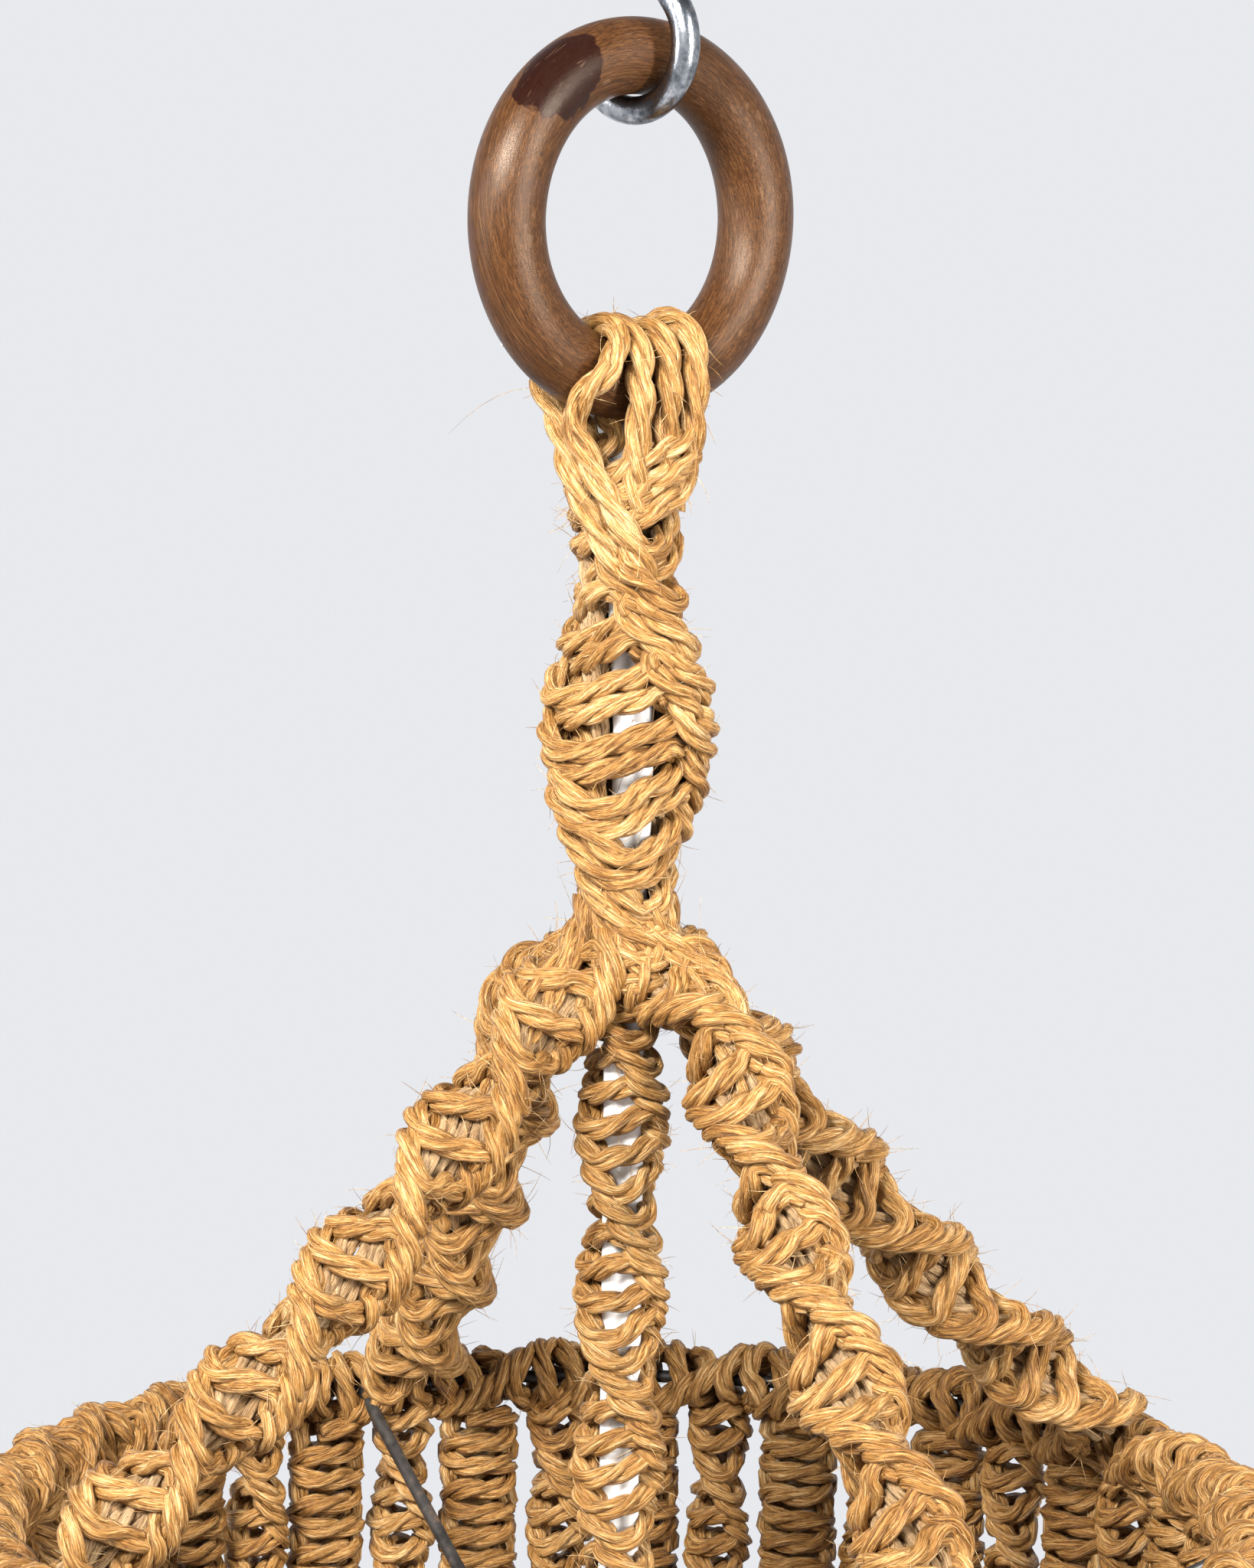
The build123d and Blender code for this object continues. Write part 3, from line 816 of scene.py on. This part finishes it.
ranked("fringe_flat", [tassel(), tassel(), tassel()], FIRST_COLUMN)
ranked("fringe_spiral", [tassel(), tassel(), tassel()], FIRST_COLUMN + PAIR_STEP / 2)

# %% [markdown]
# ## Loops over the ring
# The cords start as loops over the wooden ring: up the front, over the tube and down the back, where
# each one walks a little to the right. The cord at the left stands apart: both of its legs slant across
# the wrap and run on into the sinnet's first ridge.

# %% Ring loops
LOOP_REACH = TUBE_R + 2.3      # the cords press a little on the wood


def ring_loop(front, back, gather_front, gather_back):
    """One cord over the ring, whose two legs run on down into the wrap."""
    tops = [RING_Z - math.sqrt(RING_R**2 - x * x) for x in (front, back)]
    points = [
        (gather_front, -6.0, LOOP_END_Z - 9.0),
        (front * 0.75 + gather_front * 0.25, -7.6, LOOP_END_Z),
        (front, -LOOP_REACH - 0.1, RING_Z - RING_R - 3.0),
    ]
    for share in np.linspace(0.0, 1.0, 7):
        angle = (share - 0.5) * math.pi
        x = front + (back - front) * share
        middle = tops[0] + (tops[1] - tops[0]) * share
        points.append((x, LOOP_REACH * math.sin(angle), middle + LOOP_REACH * math.cos(angle)))
    points += [
        (back, LOOP_REACH + 0.1, RING_Z - RING_R - 3.0),
        (back * 0.75 + gather_back * 0.25, 7.6, LOOP_END_Z),
        (gather_back, 6.0, LOOP_END_Z - 9.0),
    ]
    points = np.array(points) + random.normal(0, 0.15, (len(points), 3))
    return cord(smooth_line(points, 0.6), 2.6, 9)


def in_view(right, front, z):
    """A point by how far right and in front of the lamp's axis it is."""
    return np.array(VIEW_RIGHT) * right + np.array(VIEW_FRONT) * front + np.array((0, 0, z))


loop_strands = []
for places in ((-5.5, -2.0, -4.0, -2.5), (1.0, 4.5, 0.0, 2.0), (7.0, 10.5, 4.5, 6.5)):
    loop_strands += ring_loop(*places)

# the left cord
over = []
for share in np.linspace(0.0, 1.0, 7):
    angle = (share - 0.5) * math.pi
    across = -12.6 + 3.0 * share + 4.2 * math.sin(math.pi * share)
    top = RING_Z - math.sqrt(RING_R**2 - across**2)
    over.append((across, LOOP_REACH * math.sin(angle), top + LOOP_REACH * math.cos(angle)))
front_leg = [in_view(*p) for p in (
    (4.0, 4.0, -142.0), (2.6, 8.8, -135.8), (-0.6, 10.2, -129.2), (-4.6, 10.9, -122.3),
    (-7.6, 11.2, -116.0), (-9.9, 11.6, -110.5), (-8.6, 13.6, -106.0), (-5.0, 16.2, -102.0),
)]
back_leg = [in_view(*p) for p in (
    (-15.9, 0.4, -103.2), (-13.6, 2.6, -108.6), (-11.9, 6.0, -113.6), (-10.6, 9.0, -118.4),
    (-8.0, 9.6, -124.7), (-4.4, 8.9, -131.6), (-1.2, 7.4, -138.0), (0.8, 3.6, -143.0),
)]
loop_strands += cord(smooth_line(front_leg + over + back_leg, 0.6), 2.45, 9)
rope_piece("ring_loop_cords", loop_strands, "ring_loops")

# %% [markdown]
# ## The gathering wrap
# A doubled cord is wound round the legs of the loops and draws them together. Its turns climb to the
# right at the front, and the ends are lost behind.

# %% Gathering wrap
def wound(turns, top, fall, wide_top, wide_low, deep_top, deep_low, tilt, radius, lean=0.0):
    """A cord wound downwards round the axis in an oval that closes in."""
    share = np.linspace(0, 1, int(turns * 24) + 1)
    angle = share * turns * 2 * math.pi + math.pi
    wide = wide_top + (wide_low - wide_top) * share
    deep = deep_top + (deep_low - deep_top) * share
    right = wide * np.cos(angle) + lean * (1 - share)
    front = deep * np.sin(angle)
    height = top - fall * share + tilt * right / wide
    across, toward = np.array(VIEW_RIGHT), np.array(VIEW_FRONT)
    points = right[:, None] * across + front[:, None] * toward
    points[:, 2] += height
    points += random.normal(0, 0.18, points.shape)
    return cord(smooth_line(points, 0.6), radius, 8)


wrap_strands = []
for offset in (0.0, 4.4):
    wrap_strands += wound(
        turns=2.0, top=LOOP_END_Z + 3.2 - offset, fall=11.0, wide_top=10.4, wide_low=8.4,
        deep_top=8.6, deep_low=7.4, tilt=3.9, radius=2.3, lean=0.6,
    )
rope_piece("gathering_wrap_cords", wrap_strands, "gathering_wrap")

# %% [markdown]
# ## The junction
# Where the four supports part, the sinnet's own cords fan out over their first knots, and a few tight
# turns of cord hold the parting.

# %% Junction
junction_strands = []
for offset in (0.0, 4.1):
    junction_strands += wound(
        turns=1.3, top=SINNET_LOW_Z + 1.5 - offset, fall=5.5, wide_top=8.4, wide_low=9.6,
        deep_top=7.6, deep_low=9.0, tilt=-1.6, radius=2.2,
    )


def fanned(side, start_turn, reach, rise):
    """A cord that leaves the sinnet's foot and lies along the top of a support."""
    way = support_guide(side)
    heading = SUPPORTS[side][1][0]
    start = at(start_turn, 7.6, SINNET_LOW_Z + 9.0)
    knee = at((start_turn + heading) / 2, 9.0, SINNET_LOW_Z + 2.5)
    across = np.array((rise * 0.3, rise, rise * 0.5, 0.0))
    along = np.array((9.0, 18.0, reach, reach + 6.0))
    above = on_guide(way, across, np.zeros(4), along, np.zeros(4))
    above[:, 2] += (5.6, 5.4, 3.4, 0.5)
    return cord(smooth_line(np.vstack([start, knee, above]), 0.6), 2.25, 8)


FAN_STARTS = {"right": (-20, 6), "front": (262, 292), "left": (160, 186), "back": (88, 112)}
for side, turns in FAN_STARTS.items():
    for number, start_turn in enumerate(turns):
        junction_strands += fanned(side, start_turn, 24.0 + 4 * number, -2.3 + 4.6 * number)
rope_piece("junction_cords", junction_strands, "junction_knot")

# %% [markdown]
# ## Stray fibres
# Sisal sheds. Short fibres stand off every cord, and they are what makes it read as rope at its
# outline. Each is a thin three-sided tube that leaves a strand along its fibres, lifts away and
# curls. They grow from points drawn at random on the strands' own rings, with a fixed seed.

# %% Stray fibres
def stray_fibres(name, strands, count, short, long, lift=0.55, thick=0.065):
    """Fibres that stand off some cords, with lengths between short and long."""
    fibres = []
    width = thick * np.array((1.0, 1.0, 0.95, 0.85, 0.7, 0.35))
    count_along = len(width)
    steps = np.linspace(0, 1, count_along)[:, None]
    for pick in random.integers(0, len(strands), count):
        rings = strands[pick]["rings"]
        row = random.integers(2, len(rings) - 2)
        corner = random.integers(0, rings.shape[1])
        middle = rings[row].mean(0)
        along = unit(rings[row + 1].mean(0) - rings[row - 1].mean(0)) * random.choice((-1, 1))
        outward = unit(rings[row][corner] - middle)
        start = middle + (rings[row][corner] - middle) * 0.9
        length = random.uniform(short, long)
        way = unit(along * random.uniform(0.3, 1.1) + outward * lift * random.uniform(0.4, 1.6)
                   + random.normal(0, 0.25, 3))
        bend = unit(np.cross(way, random.normal(0, 1, 3))) * random.uniform(0.05, 0.5)
        line = start + length * (way * steps + bend * steps**2)
        side = unit(np.cross(way, (0.3, 0.5, 0.8)))
        tone = random.normal(0.50, 0.20)
        sides = np.tile(side, (count_along, 1))
        ups = np.tile(np.cross(way, side), (count_along, 1))
        fibres.append(strand(line, sides, ups, distance_along(line), width, 3, tone))
    rope_piece("stray_fibres_" + name, fibres)


stray_fibres("ring_loops", loop_strands + wrap_strands, 420, 1.5, 7.0)
stray_fibres("top_sinnet", top_strands, 900, 1.5, 7.0)
stray_fibres("top_fillers", core_strands, 300, 1.0, 3.5)
stray_fibres("junction", junction_strands, 360, 1.5, 7.0)
stray_fibres("centre_sinnet", centre_strands, 500, 1.5, 6.0)
for side, strands in support_strands.items():
    stray_fibres("support_" + side, strands, 800, 1.5, 7.0)
for name, strands in rim_strands.items():
    stray_fibres("rim_" + name, strands, 1200, 1.2, 5.5)
long_ones = top_strands + junction_strands + loop_strands
long_ones = long_ones + support_strands["left"] + support_strands["front"]
stray_fibres("long_wisps", long_ones, 26, 10.0, 22.0, 0.9, 0.05)

# %% [markdown]
# ## The wooden ring
# The ring is turned from one piece, stained dark and worn by handling. A torus from a formula gives
# even faces, and its points carry a "grain" vector that runs along the tube, so that the grain goes
# round with it. The stain is thicker at one shoulder, and the left limb is worn to a dull dark brown.

# %% Ring mesh
def ring_mesh():
    """A torus in the XZ plane with a grain vector on each point."""
    rows, corners = 288, 72
    around = np.arange(rows) * 2 * math.pi / rows
    across = np.arange(corners) * 2 * math.pi / corners
    big, small = np.meshgrid(around, across, indexing="ij")
    wobble = 1 + 0.006 * np.sin(3 * big + 0.5) + 0.004 * np.sin(5 * big)
    reach = RING_R + TUBE_R * np.cos(small) * wobble
    depth = -TUBE_R * np.sin(small) * wobble
    points = np.stack([reach * np.cos(big), depth, RING_Z + reach * np.sin(big)], -1)
    grid = np.arange(rows * corners).reshape(rows, corners)
    after = np.roll(grid, -1, 0)
    quads = np.stack([grid, np.roll(grid, -1, 1), np.roll(after, -1, 1), after], -1).reshape(-1, 4)
    # the grain closes on itself: it is looked up on a circle along the tube as well as round it
    grain = np.stack([
        np.cos(small) * 3.0 + np.cos(big) * 2.2,
        np.sin(small) * 3.0 + np.sin(big) * 2.2,
        0.9 * np.sin(small * 2 + 1.0),
    ], -1).reshape(-1, 3)
    return raw_mesh("ring", points.reshape(-1, 3), quads, np.zeros((0, 3), int), {"grain": grain})


# %% Wood finish
def wood_finish():
    """Dark stained wood: grain, worn patches, a thick dark stain, scratches and varnish."""
    material, shader = new_finish(
        "stained_wood", Specular_IOR_Level=0.28, Specular_Tint=(1.0, 0.82, 0.66, 1)
    )
    grain = add_node(material, "ShaderNodeAttribute", attribute_name="grain").outputs["Vector"]
    place = place_of(material)
    parts = add_node(material, "ShaderNodeSeparateXYZ", inputs={"Vector": place}).outputs
    lines = noise(material, grain, 5.5, 6.0, 0.7)
    pores = noise(material, grain, 17.0, 3.0, 0.7)
    clouds = noise(material, place, 75.0, 4.0, 0.6)
    specks = noise(material, place, 900.0, 2.0, 0.6)
    base = ramp(material, stretched(material, lines, 0.30, 0.70), [
        (0.0, (0.022, 0.0070, 0.0018)),
        (0.45, (0.056, 0.0205, 0.0056)),
        (0.8, (0.092, 0.0375, 0.0120)),
        (1.0, (0.135, 0.0620, 0.0240)),
    ])
    dark_pores = stretched(material, pores, 0.40, 0.50)
    base = mix_colour(material, dark_pores, (0.020, 0.008, 0.003), base)
    # worn along the left limb: a band in X, broken up by the clouds
    limb = stretched(material, parts["X"], -0.0225, -0.0300)
    rubbed = times(material, limb, stretched(material, clouds, 0.46, 0.60))
    base = mix_colour(material, times(material, rubbed, 0.55), base, (0.046, 0.022, 0.018))
    # the thick stain sits on the upper left shoulder
    left = stretched(material, parts["X"], -0.007, -0.021)
    top = stretched(material, parts["Z"], (RING_Z + 10.0) * MM, (RING_Z + 26.0) * MM)
    outer = stretched(material, parts["Y"], 0.003, -0.003)
    stain = times(material, times(material, left, top), outer)
    ragged = plus(material, times(material, stain, 0.8), clouds)
    stain = stretched(material, ragged, 0.84, 0.89)
    colour = mix_colour(material, times(material, stain, 0.92), base, (0.010, 0.0025, 0.0020))
    scratch_place = add_node(material, "ShaderNodeMapping", inputs={
        "Vector": place, "Rotation": (0.4, 0.9, 0.2), "Scale": (260.0, 2600.0, 260.0)}).outputs["Vector"]
    scratches = stretched(material, noise(material, scratch_place, 1.0, 1.0, 0.4), 0.70, 0.74)
    colour = mix_colour(material, times(material, scratches, 0.18), colour, (0.20, 0.12, 0.07))
    roughness = stretched(material, clouds, 0.35, 0.65, 0.30, 0.44)
    roughness = maths(material, "SUBTRACT", roughness, times(material, stain, 0.16))
    height = plus(material, times(material, lines, 0.6), times(material, pores, 0.3))
    height = plus(material, height, times(material, specks, 0.12))
    feed(material, shader, colour, roughness, height, 0.35, 0.00025)
    return material


WOOD = wood_finish()
put("turned_ring", ring_mesh(), WOOD, "ring", "stained_wood", "wood_ring")


# %% [markdown]
# ## The S-hook
# The hook is one rod, bent into two bows in a plane nearly square to the ring, and zinc plated. Its
# line is two arcs and the straight between them, worked out from the bows, and a round section is
# carried along it. Zinc plate is grey with small cloudy crystals and bending marks, and the dark
# end of its colour is painted dark reflection as well as the plate's own cloudy tone.

# %% Hook
BOW_R = 11.5
BOW_SPACING = 36.0
ROD_R = 2.5
HOOK_HEADING = math.radians(-81.0)
TIP_RISE = math.radians(-15.0)


def hook_line():
    """The rod's centre line, lower tip first."""
    top = ROD_R - BOW_R
    low = top - BOW_SPACING
    lean = math.asin(2 * BOW_R / BOW_SPACING)
    flat = []
    for angle in np.linspace(math.pi - TIP_RISE, 2 * math.pi + lean, 60):
        flat.append((BOW_R * math.cos(angle), low + BOW_R * math.sin(angle)))
    for angle in np.linspace(math.pi + lean, -TIP_RISE, 60):
        flat.append((BOW_R * math.cos(angle), top + BOW_R * math.sin(angle)))
    across, height = np.array(flat).T
    return even(np.column_stack([
        across * math.cos(HOOK_HEADING), across * math.sin(HOOK_HEADING), height,
    ]), 0.4)


def lengthwise(rings, angle, along):
    """A fibre vector for each ring's points: round the section in two numbers, along it in the third."""
    shape = rings.shape[:2]
    return np.stack([
        np.broadcast_to(np.cos(angle), shape),
        np.broadcast_to(np.sin(angle), shape),
        np.broadcast_to(along[:, None], shape),
    ], -1)


ROD_ANGLES = np.arange(28) * 2 * math.pi / 28
SMALLEST_RING = 0.01


def rod_ring(centre, side, up, radius):
    """One ring of points round a rod."""
    radius = max(radius, SMALLEST_RING)
    return centre + radius * (np.cos(ROD_ANGLES)[:, None] * side + np.sin(ROD_ANGLES)[:, None] * up)


def rounded_rod(name, line, radius):
    """A rod along a line with round ends, and a fibre vector along it."""
    tangent, side, up = turning_frame(line)
    run = distance_along(line)
    start, stop = [], []
    for angle in np.linspace(0, math.pi / 2, 9)[:-1]:
        out, size = radius * math.cos(angle), radius * math.sin(angle)
        start.append(rod_ring(line[0] - tangent[0] * out, side[0], up[0], size))
        stop.insert(0, rod_ring(line[-1] + tangent[-1] * out, side[-1], up[-1], size))
    body = [rod_ring(p, a, b, radius) for p, a, b in zip(line, side, up)]
    rings = np.array(start + body + stop)
    length = np.concatenate([np.full(len(start), run[0]), run, np.full(len(stop), run[-1])])
    fibre = lengthwise(rings, ROD_ANGLES, length / 10)
    return mesh_of(name, [{"rings": rings, "fibre": fibre, "tone": 0.2}])


def zinc_finish():
    """Zinc plate: cloudy, with rubbed spots and long bending marks; its darkest clouds are partly painted
    reflection.
    """
    material, shader = new_finish("zinc_steel", Metallic=1.0)
    place = place_of(material)
    clouds = noise(material, place, 190.0, 4.0, 0.65)
    crystals = noise(material, place, 800.0, 2.0, 0.6)
    fibre = add_node(material, "ShaderNodeAttribute", attribute_name="fibre").outputs["Vector"]
    marks = noise(material, fibre, 7.0, 3.0, 0.6)
    value = plus(material, times(material, clouds, 0.6), times(material, crystals, 0.4))
    # the ramp's dark end is painted dark reflection as well as the plate's cloudy tone
    colour = ramp(material, stretched(material, value, 0.36, 0.62), [
        (0.0, (0.07, 0.078, 0.095)), (0.45, (0.22, 0.235, 0.26)), (1.0, (0.50, 0.51, 0.53)),
    ])
    roughness = stretched(material, value, 0.36, 0.62, 0.34, 0.12)
    feed(material, shader, colour, roughness, plus(material, value, marks), 0.28, 0.00018)
    return material


ZINC = zinc_finish()
put("bent_hook", rounded_rod("hook", hook_line(), ROD_R), ZINC, "hook", "zinc_steel", "hanging_hook")

# %% [markdown]
# ## The flex
# A white twin flex, two cores side by side with a groove between, climbs through the sinnets, leaves
# between two loops and goes up behind the ring to its terminal block. It is held all the way, so it is
# a made route and not a loose cord. A twin-lobed outline is carried along one smooth curve.

# %% Flex
FLEX_POINTS = [
    (0, 0, node_box("flex")[0][2]), (-0.6, -0.8, -300.0), (-0.6, -0.8, -250.0), (-0.6, -0.8, -205.0),
    (-1.2, -3.0, -172.0), (-1.2, -2.6, -158.0), (-1.0, -1.0, -143.0), (-2.2, -0.2, -130.0),
    (-3.6, 1.2, -118.5), (-4.6, 6.5, -111.0), (-5.4, 12.6, -104.4), (-7.7, 18.3, -96.6),
]
CORE_R = 1.8


def flex_mesh():
    """The twin outline along the flex's line, its wide side toward the front at the lamp's middle."""
    line = smooth_line(FLEX_POINTS, 0.9)
    tangent = unit(np.gradient(line, axis=0))
    wide = np.array(VIEW_RIGHT)
    side = unit(wide - tangent * (tangent @ wide)[:, None])
    up = np.cross(tangent, side)
    angle = np.linspace(0, 2 * math.pi, 29)[:-1]
    # two lobes that meet in a groove: the outline's radius from the middle, as a function of the angle
    reach = np.maximum(2 * CORE_R * np.abs(np.cos(angle)), CORE_R * 0.62)
    rings = line[:, None, :] + (np.cos(angle) * reach)[None, :, None] * side[:, None, :]
    rings = rings + (np.sin(angle) * reach)[None, :, None] * up[:, None, :]
    fibre = lengthwise(rings, angle, distance_along(line) / 20)
    return mesh_of("flex", [{"rings": rings, "fibre": fibre, "tone": 0.0}])


def plastic_finish(name, colour, gloss, dust):
    """Moulded or extruded plastic: an even colour, faint clouds of dust and a slight orange peel."""
    material, shader = new_finish(name, Specular_IOR_Level=0.5)
    place = place_of(material)
    clouds = noise(material, place, 130.0, 4.0, 0.6)
    peel = noise(material, place, 1400.0, 2.0, 0.5)
    dusty = tuple(c * 0.72 for c in colour)
    shade = mix_colour(material, stretched(material, clouds, 0.45, 0.75, 0.0, dust), colour, dusty)
    roughness = stretched(material, clouds, 0.3, 0.7, gloss, gloss + 0.15)
    feed(material, shader, shade, roughness, peel, 0.08, 0.0001)
    return material


WHITE_FLEX = plastic_finish("white_flex", (0.80, 0.79, 0.76), 0.22, 0.5)
put("twin_flex", flex_mesh(), WHITE_FLEX, "lamp", "white_flex", "flex")


# %% [markdown]
# ## Wires, holder and terminals
# The rim wires, the spider and the holder have their true shapes in CAD, so their nodes stay and only
# get finishes. A bevel in the shader would not be exported, so the finishes rely on small bumps.

# %% Hardware finishes
def metal_finish(name, light, dark, rough, spots):
    """Metal with cloudy tarnish: two colours, a roughness, and how coarse the spots are."""
    material, shader = new_finish(name, Metallic=1.0)
    place = place_of(material)
    clouds = noise(material, place, spots, 5.0, 0.65)
    colour = ramp(material, stretched(material, clouds, 0.35, 0.65), [(0.0, dark), (1.0, light)])
    roughness = stretched(material, clouds, 0.35, 0.65, rough + 0.15, rough)
    feed(material, shader, colour, roughness, clouds, 0.15, 0.0001)
    return material


def black_wire_finish():
    """Black enamelled wire with rubbed brown spots."""
    material, shader = new_finish("black_wire", Specular_IOR_Level=0.5)
    clouds = noise(material, place_of(material), 240.0, 4.0, 0.7)
    colour = ramp(material, stretched(material, clouds, 0.35, 0.7), [
        (0.0, (0.012, 0.011, 0.010)), (0.7, (0.035, 0.030, 0.026)), (1.0, (0.10, 0.055, 0.03)),
    ])
    roughness = stretched(material, clouds, 0.3, 0.7, 0.35, 0.6)
    feed(material, shader, colour, roughness, clouds, 0.25, 0.0002)
    return material


NODE_FINISHES = {
    "black_wire": (black_wire_finish(), ["rim_wire_upper", "rim_wire_lower", "spider_hub", "spider_arms"]),
    "white_plastic": (plastic_finish("white_plastic", (0.42, 0.41, 0.39), 0.30, 0.6),
                      ["lampholder_cap", "lampholder_body", "shade_ring", "terminal_block"]),
    "ceramic_insert": (plastic_finish("ceramic_insert", (0.38, 0.36, 0.32), 0.40, 0.8), ["contact_carrier"]),
    "nickel_shell": (metal_finish("nickel_shell", (0.72, 0.68, 0.60), (0.45, 0.42, 0.37), 0.22, 300.0),
                     ["socket_shell"]),
    "brass_terminal": (metal_finish("brass_terminal", (0.78, 0.56, 0.24), (0.45, 0.29, 0.11), 0.25, 400.0),
                       ["centre_contact", "holder_terminals", "terminal_screws"]),
}
for slot_name, (material, names) in NODE_FINISHES.items():
    for name in names:
        mesh = nodes[name].data
        mesh.materials.clear()
        mesh.materials.append(material)
print("finished nodes", sum(len(names) for _, names in NODE_FINISHES.values()))

# %% [markdown]
# ## The floor
# The floor lies well below the fringe. It is a subdivided disc of even pale grey.

# %% Floor
def floor_mesh():
    """A disc of rings, wide enough to catch the lamp's shadow."""
    rings, corners, reach = 12, 96, 1300.0
    angle = np.arange(corners) * 2 * math.pi / corners
    radius = np.linspace(reach / rings, reach, rings)
    points = [np.array([[0, 0, FLOOR_Z]])]
    for r in radius:
        points.append(np.column_stack([r * np.cos(angle), r * np.sin(angle), np.full(corners, FLOOR_Z)]))
    grid = 1 + np.arange(rings * corners).reshape(rings, corners)
    here, after = grid[:-1], grid[1:]
    quads = np.stack([here, after, np.roll(after, -1, 1), np.roll(here, -1, 1)], -1).reshape(-1, 4)
    fan = np.stack([np.zeros(corners, int), grid[0], np.roll(grid[0], -1)], -1)
    return raw_mesh("floor", np.vstack(points), quads, fan, {})


FLOOR_Z = -900.0
floor_finish, floor_shader = new_finish("pale_floor", Roughness=0.9)
speckle = noise(floor_finish, place_of(floor_finish), 40.0, 4.0, 0.6)
floor_colour = ramp(floor_finish, speckle, [(0.0, (0.40, 0.40, 0.41)), (1.0, (0.44, 0.44, 0.45))])
feed(floor_finish, floor_shader, floor_colour)
floor = bpy.data.objects.new("floor", floor_mesh())
bpy.context.scene.collection.objects.link(floor)
floor.data.materials.append(floor_finish)
